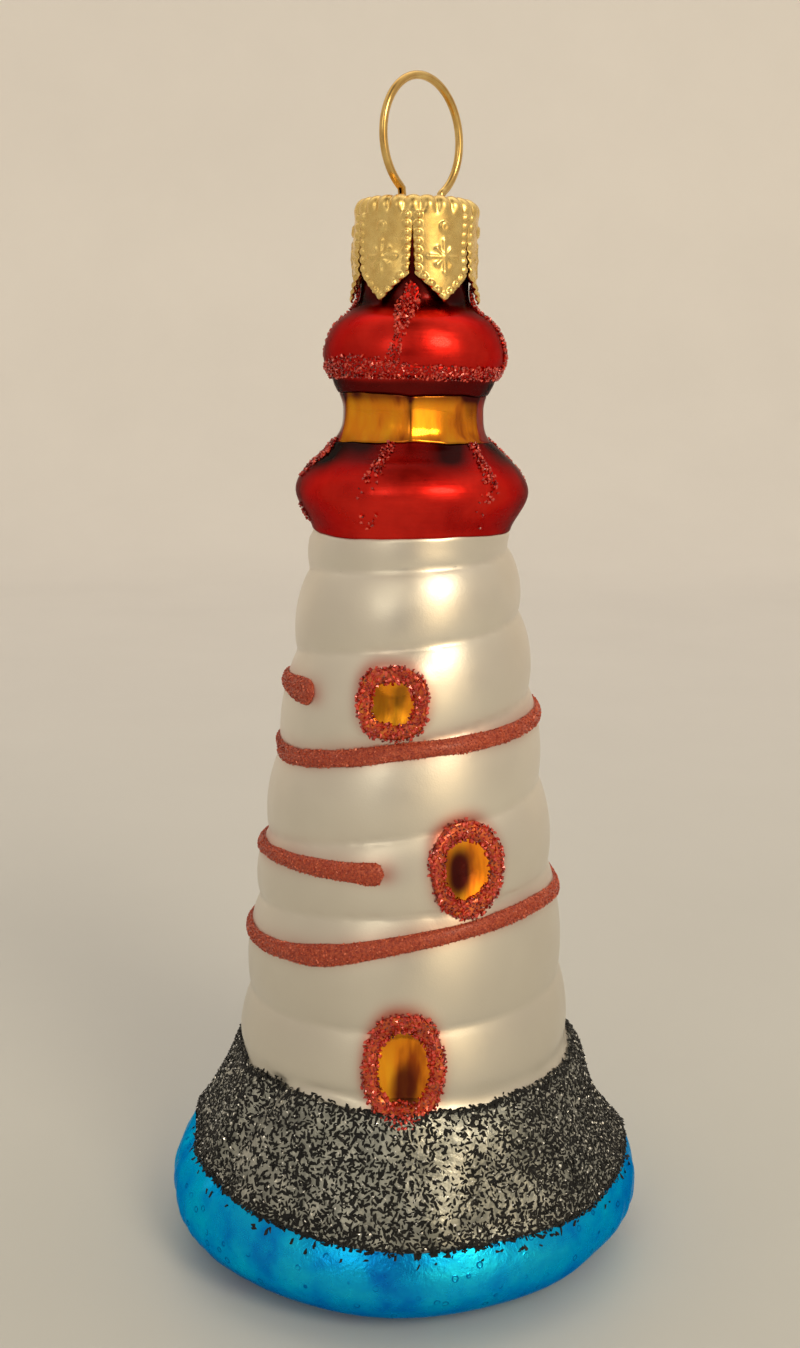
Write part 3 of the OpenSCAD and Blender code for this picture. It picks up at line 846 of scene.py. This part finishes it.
paintRedReflection(pieces["tower_coat"])

pane = {"lift": 0.27, "rings": 22, "round": 72}
rim = {"width": 1.35, "height": 0.34, "round": 108, "section": 14,
       "spacing": 0.29, "grain": 0.50, "grainSpread": 0.14}


def ovalPoint(o, share, angle):
    c, s = np.cos(angle), np.sin(angle)
    across = share * o["wide"] * np.sign(c) * np.abs(c) ** (2 / o["square"])
    up = share * o["tall"] * np.sign(s) * np.abs(s) ** (2 / o["square"])
    z = o["z"] + up
    return o["turn"] + np.degrees(across / radiusAt(z)), runAt(z)


def paneDish(name, o, material):
    angle = np.linspace(0, 2 * math.pi, pane["round"], endpoint=False)
    edgeShare = 1 - 0.55 * rim["width"] / o["wide"]
    shares = np.linspace(0, edgeShare, pane["rings"])[1:]
    rows = [onWall(*ovalPoint(o, s, angle), pane["lift"]) for s in shares]
    rows += [onWall(*ovalPoint(o, s, angle), 0.05) for s in shares[::-4]]
    body = np.array(rows)
    middle = [onWall(o["turn"], runAt(o["z"]), lift) for lift in (pane["lift"], 0.05)]
    count, around = body.shape[:2]
    faces = [f[::-1] for f in gridFaces(count, around)] + poleFaces(count, around, flip=True)
    piece = meshFrom(name, np.concatenate([body.reshape(-1, 3), np.array(middle)]), faces, material)
    # painted dark reflection in the dish towards one spot, and darker a little round the edge
    allShares = np.concatenate([np.repeat(np.concatenate([shares, shares[::-4]]), around), [0, 0]])
    allAngles = np.concatenate([np.tile(angle, count), [0, 0]])
    across, up, reach, strength = o["stain"]
    x, y = allShares / edgeShare * np.cos(allAngles), allShares / edgeShare * np.sin(allAngles)
    off = np.hypot(x - across, y - up)
    swirl = 0.07 * np.sin(2 * np.arctan2(y - up, x - across) + 2 * off + 1)
    shade = strength * (1 - smooth(reach * 0.5, reach * 1.35, off + swirl))
    setValue(piece, "shade", shade + 0.5 * smooth(0.72, 1.0, np.hypot(x, y)))
    return piece


def wobble(rng, angle, counts, least=0.4):
    return sum(rng.uniform(least, 1) * np.sin(angle * k + rng.uniform(0, 6.28)) for k in counts)


def sectionAngles(count, closed, margin=0.0, top=9):
    # right round for a bed, only its upper side for what the grains lie on
    if closed:
        return np.linspace(0, 2 * math.pi, count, endpoint=False)
    return np.linspace(margin, math.pi - margin, top)


def rimRing(o, seed, closed=True):
    # the bed of glue round a pane, uneven in width
    angle = np.linspace(0, 2 * math.pi, rim["round"], endpoint=False)
    uneven = wobble(np.random.default_rng(seed), angle, (2, 3, 5, 7)) / 4
    half = rim["width"] / 2 * (1 + 0.2 * uneven) * (1 if closed else 1.22)
    middle = 1 - rim["width"] / 2 / o["wide"]
    rows = []
    for section in sectionAngles(rim["section"], closed):
        share = middle + half * np.cos(section) / o["wide"]
        out = lift + 0.03 + rim["height"] * max(math.sin(section), -0.15)
        rows.append(onWall(*ovalPoint(o, share, angle), out))
    material = finishes["amberBed"] if closed else None
    return meshFrom("rim", np.array(rows), gridFaces(len(rows), rim["round"], wrapRows=closed), material)


for index, (key, o) in enumerate(openings.items()):
    pieces[key + "_pane"] = paneDish(key + "Pane", o, finishes["amberLacquer"])
    bed, carrier = rimRing(o, 60 + index), rimRing(o, 60 + index, closed=False)
    cover = np.repeat(np.interp(np.arange(9), (0, 1, 7, 8), (0.25, 1, 1, 0.5)), rim["round"])
    pieces[key + "_rim"] = glitter(key + "Rim", bed, carrier, cover, rim, 70 + index)
print("panes and rims done")

stripe = {"height": 0.42, "section": 14, "spacing": 0.2, "grain": 0.27, "grainSpread": 0.07}


def stripeBody(name, seed, closed=True):
    spec = stripes[name]
    turns, heights = stripeLine(name)
    uneven = wobble(np.random.default_rng(seed), np.radians(turns), (2, 5, 9, 16)) / 4
    half = spec["width"] / 2 * (1 + 0.12 * uneven)
    half = half * np.interp(turns, *zip(*spec["widths"]))
    # rounded at both ends
    arc = np.radians(np.minimum(turns - turns[0], turns[-1] - turns)) * radiusAt(heights)
    cap = np.sqrt(np.clip(1 - (1 - np.clip(arc / half, 0, 1)) ** 2, 0, 1))
    half, tall = half * np.maximum(cap, 0.02), stripe["height"] * np.maximum(cap, 0.05)
    rows = []
    for section in sectionAngles(stripe["section"], closed, 0.15):
        z = heights + half * math.cos(section)
        out = lift + 0.02 + tall * max(math.sin(section), -0.2)
        rows.append(onWall(turns, runAt(z), out))
    return np.array(rows).transpose(1, 0, 2)


for index, key in enumerate(stripes):
    bed = tube(key + "Bed", stripeBody(key, 80 + index), finishes["redBed"])
    rows = stripeBody(key, 80 + index, closed=False)
    carrier = meshFrom(key + "Carrier", rows, gridFaces(*rows.shape[:2], wrapCols=False), None)
    pieces[key] = glitter(key + "Glitter", bed, carrier, 1.0, stripe, 90 + index, dustChip, "fineGrain")
print("stripes done")

trim = {"ribWidth": 1.7, "bed": 0.11, "lean": 1.4, "spacing": 0.25, "grain": 0.40, "grainSpread": 0.12}


def ribBand(turn, lowZ, highZ, seed):
    rng = np.random.default_rng(seed)
    runs = np.linspace(runAt(lowZ), runAt(highZ), 46)
    r = np.interp(runs, wallRun, wallR)
    along = np.linspace(0, 1, len(runs))
    sway = sum(rng.uniform(0.3, 1) * np.sin(along * k * 3.14 + rng.uniform(0, 6.28)) for k in (1, 2, 3))
    sway *= 0.22
    half = trim["ribWidth"] / 2 * (0.8 + 0.28 * np.sin(along * 7 + rng.uniform(0, 6.28)))
    half *= np.sqrt(np.clip(np.minimum(along, 1 - along) / 0.06, 0.03, 1))
    sway += trim["lean"] * (along - 0.7)
    return runs, turn + np.degrees(sway / r), np.degrees(half / r), rng


def ribPiece(key, turn, lowZ, highZ, seed, thick):
    # thick: how much further down the grains lie close together
    runs, middle, half, rng = ribBand(turn, lowZ, highZ, seed)

    def rows(angles, wide, up, least=-1):
        made = [onWall(middle + half * math.cos(a) * wide, runs,
                       lift + up + trim["bed"] * max(math.sin(a), least)) for a in angles]
        return np.array(made).transpose(1, 0, 2)[:, ::-1]

    bed = tube(key + "Bed", rows(sectionAngles(12, True), 1, -0.03, -0.2), finishes["redLacquer"])
    top = rows(sectionAngles(0, False, 0.1), 1.15, 0.1)
    carrier = meshFrom(key + "Carrier", top, gridFaces(*top.shape[:2], wrapCols=False), None)
    along = np.repeat(np.linspace(0, 1, len(runs)), top.shape[1])
    patchy = 0.30 + 0.26 * np.sin(along * 9 + rng.uniform(0, 6.28)) + 0.75 * smooth(0.5, 0.7, along + thick)
    return glitter(key, bed, carrier, patchy, trim, seed)


def middleTurn(name):
    low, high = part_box(name)
    return math.degrees(math.atan2((low.x + high.x) / 2, -(low.y + high.y) / 2))


# lower and upper end, seed and thick
ribs = {
    "gallery_rib": (galleryZ + 0.9, lanternZ + 0.1, 100, 0.0),
    "dome_rib": (domeZ + 1.8, neckZ + 2.0, 120, 0.6),
}
for key in sorted(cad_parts):
    kind, _, number = key.rpartition("_")
    if kind in ribs:
        lowZ, highZ, seed, thick = ribs[kind]
        name = key.replace("_", "").replace("rib", "Rib")
        pieces[key] = ribPiece(name, middleTurn(key), lowZ, highZ, seed + int(number), thick)


def hemPiece():
    low = edge("dome_hem")
    lowRun = wavyEdge(low + 0.3, 0.2, 131)
    highRun = wavyEdge(low + 1.35, 0.3, 132, lambda t: bell(turnGap(t, -38) / 36))
    bed = coat("hemBed", lowRun, highRun, lift + 0.2, finishes["redLacquer"], 288, 18, 0.5)
    carrier = openPatch(past(lowRun, 0.05), past(highRun, -0.05), lift + 0.2, 288, 12)
    return glitter("domeHem", bed, carrier, 1.0, trim, 133)


pieces["dome_hem"] = hemPiece()
print("hem and ribs done")

rocks = {"coat": 0.34, "chips": 0.27, "chipSize": 0.74, "chipSpread": 0.3,
         "strayDown": 1.1, "strayUp": 0.35,   # how far single chips lie past the edges
         "cols": 448, "rows": 56}
glints = {"spacing": 0.9, "size": 0.36, "spread": 0.12, "tilt": 0.9}


def rockPiece():
    low = past(rockEdge, -0.25)
    base = coat("rockBase", low, towerEdge, lift + rocks["coat"], finishes["stoneCoat"], 340, 50, 0.7)
    down, up = rocks["strayDown"], rocks["strayUp"]

    def chipLift(fromLow, fromHigh):
        # down to the lacquer where single chips stray past the rocks' edges
        inner = smooth(down - 0.2, down + 0.4, fromLow)
        return lift + 0.05 + rocks["coat"] * inner * smooth(up - 0.1, up + 0.4, fromHigh)

    carrier = openPatch(past(low, -down), past(towerEdge, up), chipLift, rocks["cols"], rocks["rows"])
    turn, co = readPoints(carrier)
    share = np.repeat(np.linspace(0, 1, rocks["rows"]), rocks["cols"])
    # closer at the sides and along both edges, and only single chips past the edges
    cover = 0.62 + 0.14 * lumps(co, 7, 61) + 0.34 * smooth(24, 60, turn) + 0.2 * smooth(40, 85, -turn)
    cover += 0.5 * bell((share - 0.13) / 0.09) + 0.4 * bell((0.95 - share) / 0.04)
    cover = np.clip(cover, 0.2, 1) * (0.12 + 0.88 * smooth(0.06, 0.1, share)) * smooth(1.01, 0.94, share)
    setValue(carrier, "cover", cover)
    dark = scatter(carrier, "rockChips", rocks["chips"], rocks["chipSize"], rocks["chipSpread"], 0.35, 62,
                   flakeChip, finishes["jetChip"])
    carrier.data.attributes.remove(carrier.data.attributes["cover"])
    setValue(carrier, "cover", smooth(0.1, 0.16, share) * smooth(0.97, 0.92, share))
    bright = scatter(carrier, "rockGlints", *glints.values(), 63, glassChip, finishes["glintChip"])
    drop(carrier)
    return together("rockCoat", [base, dark, bright])


pieces["rock_coat"] = rockPiece()
print("rocks done")

cap = {"tabs": 6, "firstSlit": -3, "notch": 2.6, "slitTop": 7.1, "slitWidth": 0.55, "sheet": 0.2,
       "shoulder": 1.2, "sink": 0.12, "hole": 0.56,
       "tabCols": 48, "tabRows": 54, "wallRows": 20, "shoulderRows": 14, "topRows": 9,
       "bead": 0.37, "beadPitch": 0.8, "beadHeight": 0.28, "star": 1.8, "pleats": 24, "seed": 9}
wire = {"turn": 50, "shift": 0.8, "thick": 0.8, "loop": 12.3, "legGap": 5.6, "legSpread": 3.68,
        "flare": 0.2, "sides": 20, "steps": 140}


def dome(distance, radius):
    return np.sqrt(np.clip(1 - (distance / radius) ** 2, 0, 1))


def stamping(x, up, halfWide, height):
    # the pressed pattern of one tab: x across it, up from the cap's rim, all mm
    marks = np.zeros(x.shape)
    inset = cap["bead"] + 0.12
    beads = []
    for side in (-1, 1):
        rise = cap["notch"] + 0.55
        while rise < height - 1.75:
            beads.append((side * (halfWide - inset - 0.08), rise, 1.0))
            rise += cap["beadPitch"]
        for share in (0.25, 0.5, 0.75):
            beads.append((side * (halfWide - inset) * (1 - share), cap["notch"] * (1 - share) + 0.42, 1.0))
    beads.append((0, 0.55, 1.25))
    beads.append((0, height - 3.0, 1.6))
    for bx, bz, big in beads:
        marks = np.maximum(marks, cap["beadHeight"] * dome(np.hypot(x - bx, up - bz), cap["bead"] * big))
    boss = np.hypot(x, up - (height - 3.0))
    marks -= 0.12 * bell(boss / 0.22)
    # an eight-armed star
    rise = up - (height - 5.7)
    far, bearing = np.hypot(x, rise), np.arctan2(rise, x)
    near = np.abs((bearing + math.pi / 8) % (math.pi / 4) - math.pi / 8)
    reach = cap["star"] * (0.86 + 0.14 * np.cos(4 * bearing))
    arm = bell(far * np.sin(near) / 0.13) * smooth(reach, reach - 0.25, far)
    knob = np.exp(-((far - reach * 0.82) / 0.2) ** 2 - (far * near / 0.24) ** 2)
    return marks + 0.17 * np.maximum(arm, knob) + 0.08 * bell(far / 0.3)


def capPiece():
    low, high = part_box("cap")
    rim, height = low.z / mm, (high.z - low.z) / mm
    outer = (high.x - low.x) / 2 / mm
    wall, shoulder, pitch = outer - cap["sink"], cap["shoulder"], 360 / cap["tabs"]
    wallTop = height - shoulder
    across = np.linspace(-1, 1, cap["tabCols"])
    halfWide = math.radians(pitch / 2) * outer
    points, faces = [], []

    def ringPoints(angle, r, z):
        return np.stack([r * np.sin(angle), -r * np.cos(angle), z], -1)

    def sway(angle, up):
        return 0.09 * lumps(ringPoints(angle, outer, up + rim), 5, cap["seed"])

    def bow(x):
        return 0.1 * np.cos(x / halfWide * 1.5) - 0.06

    def pleat(turn, up):
        # soft flutes that end in lobes over the shoulder
        near = smooth(height - 2.1, height - 1.0, up)
        wave = np.abs(np.cos(np.radians(turn - cap["firstSlit"]) * cap["pleats"] / 2))
        return near * 0.42 * (wave ** 0.7 - 0.72)

    # tabs, each from the slits' top down to its pointed edge
    ends = []
    for k in range(cap["tabs"]):
        middle = cap["firstSlit"] + pitch * (k + 0.5)
        down = np.linspace(0, 1, cap["tabRows"])[:, None]
        lowEdge = cap["notch"] * np.abs(across)[None, :] ** 0.92
        up = cap["slitTop"] + (lowEdge - cap["slitTop"]) * down
        slit = cap["slitWidth"] / 2 * np.clip((cap["slitTop"] - up) / (cap["slitTop"] - cap["notch"]), 0, 1)
        x = across[None, :] * (halfWide - slit)
        angle = np.radians(middle + np.degrees(x / outer))
        bend = np.random.default_rng(cap["seed"] + k).uniform(-0.28, 0.12)
        out = stamping(x, up, halfWide, height) + bend * (1 - up / cap["slitTop"]) ** 1.5
        out = out + bow(x)
        start = len(points)
        grid = ringPoints(angle, wall + out + sway(angle, up), up + rim)
        points.extend(grid.reshape(-1, 3).tolist())
        turned = gridFaces(cap["tabRows"], cap["tabCols"], wrapCols=False, start=start)
        faces.extend([f[::-1] for f in turned])
        ends.append(start)
    # the ring above the slits, the shoulder and the top
    total = cap["tabs"] * (cap["tabCols"] - 1)
    turns = cap["firstSlit"] + np.arange(total) * 360 / total
    firstRow = [end + j for end in ends for j in range(cap["tabCols"] - 1)]
    path = []   # radius, height, and how far each row faces sideways and upward
    for share in np.linspace(0, 1, cap["wallRows"])[1:]:
        path.append((wall, cap["slitTop"] + (wallTop - cap["slitTop"]) * share, 1.0, 0.0))
    for a in np.linspace(0, math.pi / 2, cap["shoulderRows"])[1:]:
        path.append((wall - shoulder + shoulder * math.cos(a), wallTop + shoulder * math.sin(a),
                     math.cos(a), math.sin(a)))
    for k in range(1, cap["topRows"]):
        path.append(((wall - shoulder) * (1 - k / cap["topRows"]), height, 0.0, 1.0))
    angle = np.radians(turns)
    x = np.radians(((turns - cap["firstSlit"]) % pitch) - pitch / 2) * outer
    start = len(points)
    for r, up, sideways, upward in path:
        ups = np.full(total, up)
        out = pleat(turns, ups) * (r / outer)
        if up <= wallTop:
            out = out + stamping(x, ups, halfWide, height)
        out = out + bow(x) * sideways
        radial = r + (out + sway(angle, ups)) * max(sideways, 0.0)
        lifted = up + rim + out * upward * 0.55 - 0.18 * (1 - r / outer) * upward
        points.extend(ringPoints(angle, radial, lifted).tolist())
    lastRow, centre = start + (len(path) - 1) * total, len(points)
    points.append([0, 0, rim + height - 0.18])
    for j in range(total):
        after = (j + 1) % total
        faces.append([firstRow[after], start + after, start + j, firstRow[j]])
        faces.append([centre, lastRow + j, lastRow + after])
    faces.extend(gridFaces(len(path), total, start=start))
    piece = meshFrom("cap", np.array(points) * mm, faces, finishes["goldSheet"])
    form = bmesh.new()
    form.from_mesh(piece.data)
    bmesh.ops.remove_doubles(form, verts=form.verts, dist=2e-6)
    # the two holes the wire goes through
    a = math.radians(wire["turn"])
    for way in (-1, 1):
        hole = Vector((math.cos(a), math.sin(a))) * (way * wire["legGap"] / 2 + wire["shift"]) * mm
        inside = [f for f in form.faces if f.calc_center_median().z > (rim + height - 0.7) * mm
                  and (f.calc_center_median().to_2d() - hole).length < cap["hole"] * mm]
        bmesh.ops.delete(form, geom=inside, context="FACES")
    bmesh.ops.recalc_face_normals(form, faces=form.faces)
    form.to_mesh(piece.data)
    form.free()
    sheet = piece.modifiers.new("sheet", "SOLIDIFY")
    sheet.thickness = cap["sheet"] * mm
    sheet.offset = -1
    return piece


def hangerPiece():
    # one planar bend: leg, loop, leg
    low, high = edge("hanger"), edge("hanger", True)
    mid = (wire["loop"] - wire["thick"]) / 2
    centre = high - wire["loop"] / 2
    openAngle = math.asin((wire["legGap"] / 2 + wire["flare"]) / mid)
    foot = low + wire["thick"] / 2
    legTop = edge("cap", True) - 0.35
    holes = [wire["shift"] + side * wire["legGap"] / 2 for side in (1, -1)]
    right = [(wire["legSpread"], foot), (holes[0], legTop)]
    sweep = -math.pi / 2 + openAngle + (2 * math.pi - 2 * openAngle) * np.linspace(0, 1, wire["steps"])
    loop = [(wire["shift"] + mid * math.cos(a), centre + mid * math.sin(a)) for a in sweep]
    left = [(holes[1], legTop), (-wire["legSpread"], foot)]
    line = np.array(right + loop + left)
    way = np.gradient(line, axis=0)
    way /= np.hypot(way[:, 0], way[:, 1])[:, None]
    out = np.stack([way[:, 1], -way[:, 0]], -1)
    turn = math.radians(wire["turn"])
    flat = np.array([math.cos(turn), math.sin(turn), 0])
    sideways = np.array([-math.sin(turn), math.cos(turn), 0])
    upward = np.array([0, 0, 1])
    a = np.linspace(0, 2 * math.pi, wire["sides"], endpoint=False)
    half = wire["thick"] / 2
    sections = []
    for (x, z), o in zip(line, out):
        normal = flat * o[0] + upward * o[1]
        sections.append([flat * x + upward * z + normal * half * math.cos(t) + sideways * half * math.sin(t)
                         for t in a])
    return tube("hanger", np.array(sections)[:, ::-1] * mm, finishes["goldWire"])


pieces["cap"] = capPiece()
pieces["hanger"] = hangerPiece()
print("cap and hanger done")

drop(beadChip, flakeChip, glassChip, dustChip)
for key, piece in pieces.items():
    piece.name = key + "_look"
    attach(piece, "root")
    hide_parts(key)

# near, middle and far colours: painted shade at the front, paler with painted light towards the back
table = {"near": (0.60, 0.605, 0.59), "middle": (0.77, 0.76, 0.76), "far": (0.91, 0.895, 0.90),
         "front": -0.6, "deep": 0.5, "wide": 1.6, "bend": 0.22, "high": 1.0}


def tablePiece():
    # a pale tabletop that bends up into its own background
    line = [(table["front"], 0.0), (table["deep"], 0.0)]
    line += [(table["deep"] + table["bend"] * math.sin(a), table["bend"] * (1 - math.cos(a)))
             for a in np.linspace(0, math.pi / 2, 17)[1:]]
    line.append((table["deep"] + table["bend"], table["high"]))
    xs = np.linspace(-table["wide"], table["wide"], 3)
    points = [(x, y, z) for y, z in line for x in xs]
    faces = [f[::-1] for f in gridFaces(len(line), 3, wrapCols=False)]
    m = finish("tablePaint", table["middle"], 0.0, 0.45)
    # painted light and shade: darker near the front and paler towards the back, with a faint mottle
    depth = spread(m, place(m, "Y"), 0, 1, 0.0, 0.62)
    tone = ramp(m, depth, [(0.0, table["near"]), (0.45, table["middle"]), (0.9, table["far"])])
    mottle = ramp(m, noise(m, 60, 4), [(0.3, grey(0.97)), (0.7, grey(1.0))])
    mixed = node(m, "ShaderNodeMix", data_type="RGBA", blend_type="MULTIPLY")
    mixed.inputs[0].default_value = 1.0
    link(m, tone, mixed.inputs[6])
    link(m, mottle, mixed.inputs[7])
    feed(m, "Base Color", mixed.outputs[2])
    bump(m, [(noise(m, 1.5, 3), 1.0)], 0.02, 0.3)
    meshFrom("table", points, faces, m)


tablePiece()

lamp = {"turn": 34, "high": 0.40, "away": 0.50, "aim": 0.06, "size": 0.22, "power": 0.95,
        "colour": (1, 0.88, 0.66)}
softness = {
    "air": (0.52, 0.46, 0.38),       # the room all round
    "window": {"turn": 32, "rise": 14, "wide": 15, "tall": 32, "glow": (1.5, 1.14, 0.62)},
    "shelf": {"turn": -26, "rise": 24, "wide": 11, "tall": 14, "glow": (1.5, 1.4, 1.1)},
    "ceiling": {"turn": 180, "rise": 66, "wide": 110, "tall": 22, "glow": (0.9, 0.87, 0.78)},
    "far": {"turn": 175, "rise": 30, "wide": 50, "tall": 30, "glow": (0.3, 0.27, 0.22)},
    "shade": {"turn": -3, "rise": 4, "wide": 15, "tall": 24, "glow": (-0.30, -0.25, -0.17)},
    "dark": {"turn": -8, "rise": 72, "wide": 75, "tall": 18, "glow": (-0.48, -0.43, -0.36)},
}


def studioWorld():
    # soft glows in a plain room, each placed by its turn from the door side and its rise, in degrees
    world = bpy.data.worlds.new("studio")
    world.use_nodes = True
    direction = node(world, "ShaderNodeTexCoord").outputs["Generated"]
    parts = node(world, "ShaderNodeSeparateXYZ")
    link(world, direction, parts.inputs[0])

    def maths(operation, a, b=None, c=None):
        made = node(world, "ShaderNodeMath", operation=operation)
        for socket, value in zip(made.inputs, (a, b, c)):
            if isinstance(value, bpy.types.NodeSocket):
                link(world, value, socket)
            elif value is not None:
                socket.default_value = value
        return made.outputs[0]

    turn = maths("ARCTAN2", parts.outputs["X"], maths("MULTIPLY", parts.outputs["Y"], -1))
    rise = maths("ARCSINE", parts.outputs["Z"])
    total = None
    for name, spec in softness.items():
        if name == "air":
            continue
        off = maths("WRAP", maths("SUBTRACT", turn, math.radians(spec["turn"])), math.pi, -math.pi)
        across = maths("DIVIDE", off, math.radians(spec["wide"]))
        up = maths("DIVIDE", maths("SUBTRACT", rise, math.radians(spec["rise"])), math.radians(spec["tall"]))
        squares = maths("ADD", maths("MULTIPLY", across, across), maths("MULTIPLY", up, up))
        share = maths("POWER", math.e, maths("MULTIPLY", squares, -1))
        glow = node(world, "ShaderNodeVectorMath", operation="SCALE")
        glow.inputs[0].default_value = spec["glow"]
        link(world, share, glow.inputs["Scale"])
        added = node(world, "ShaderNodeVectorMath", operation="ADD")
        link(world, glow.outputs[0], added.inputs[0])
        if total is None:
            added.inputs[1].default_value = softness["air"]
        else:
            link(world, total, added.inputs[1])
        total = added.outputs[0]
    link(world, total, world.node_tree.nodes["Background"].inputs["Color"])
    bpy.context.scene.world = world


def lampPiece():
    light = bpy.data.lights.new("keyLamp", "AREA")
    light.shape = "DISK"
    light.size, light.energy, light.color = lamp["size"], lamp["power"], lamp["colour"]
    holder = addObject("keyLamp", light)
    a = math.radians(lamp["turn"])
    holder.location = (lamp["away"] * math.sin(a), -lamp["away"] * math.cos(a), lamp["high"])
    aim = Vector((0, 0, lamp["aim"])) - holder.location
    holder.rotation_euler = aim.to_track_quat("-Z", "Y").to_euler()


studioWorld()
lampPiece()
bpy.context.scene.view_settings.view_transform = "Standard"

# away and high in metres, angles in degrees
view = {"lens": 40.06, "sensor": 36, "shift": -13.5 / 1348, "away": 0.152, "high": 0.090, "down": 11,
        "roll": -0.85}
camera = bpy.data.cameras.new("camera")
camera.lens, camera.sensor_width, camera.shift_x = view["lens"], view["sensor"], view["shift"]
camera.clip_start = 0.005
viewer = addObject("camera", camera)
viewer.location = (0, -view["away"], view["high"])
viewer.rotation_euler = (math.radians(90 - view["down"]), math.radians(view["roll"]), 0)
bpy.context.scene.camera = viewer

print("ready to finish")
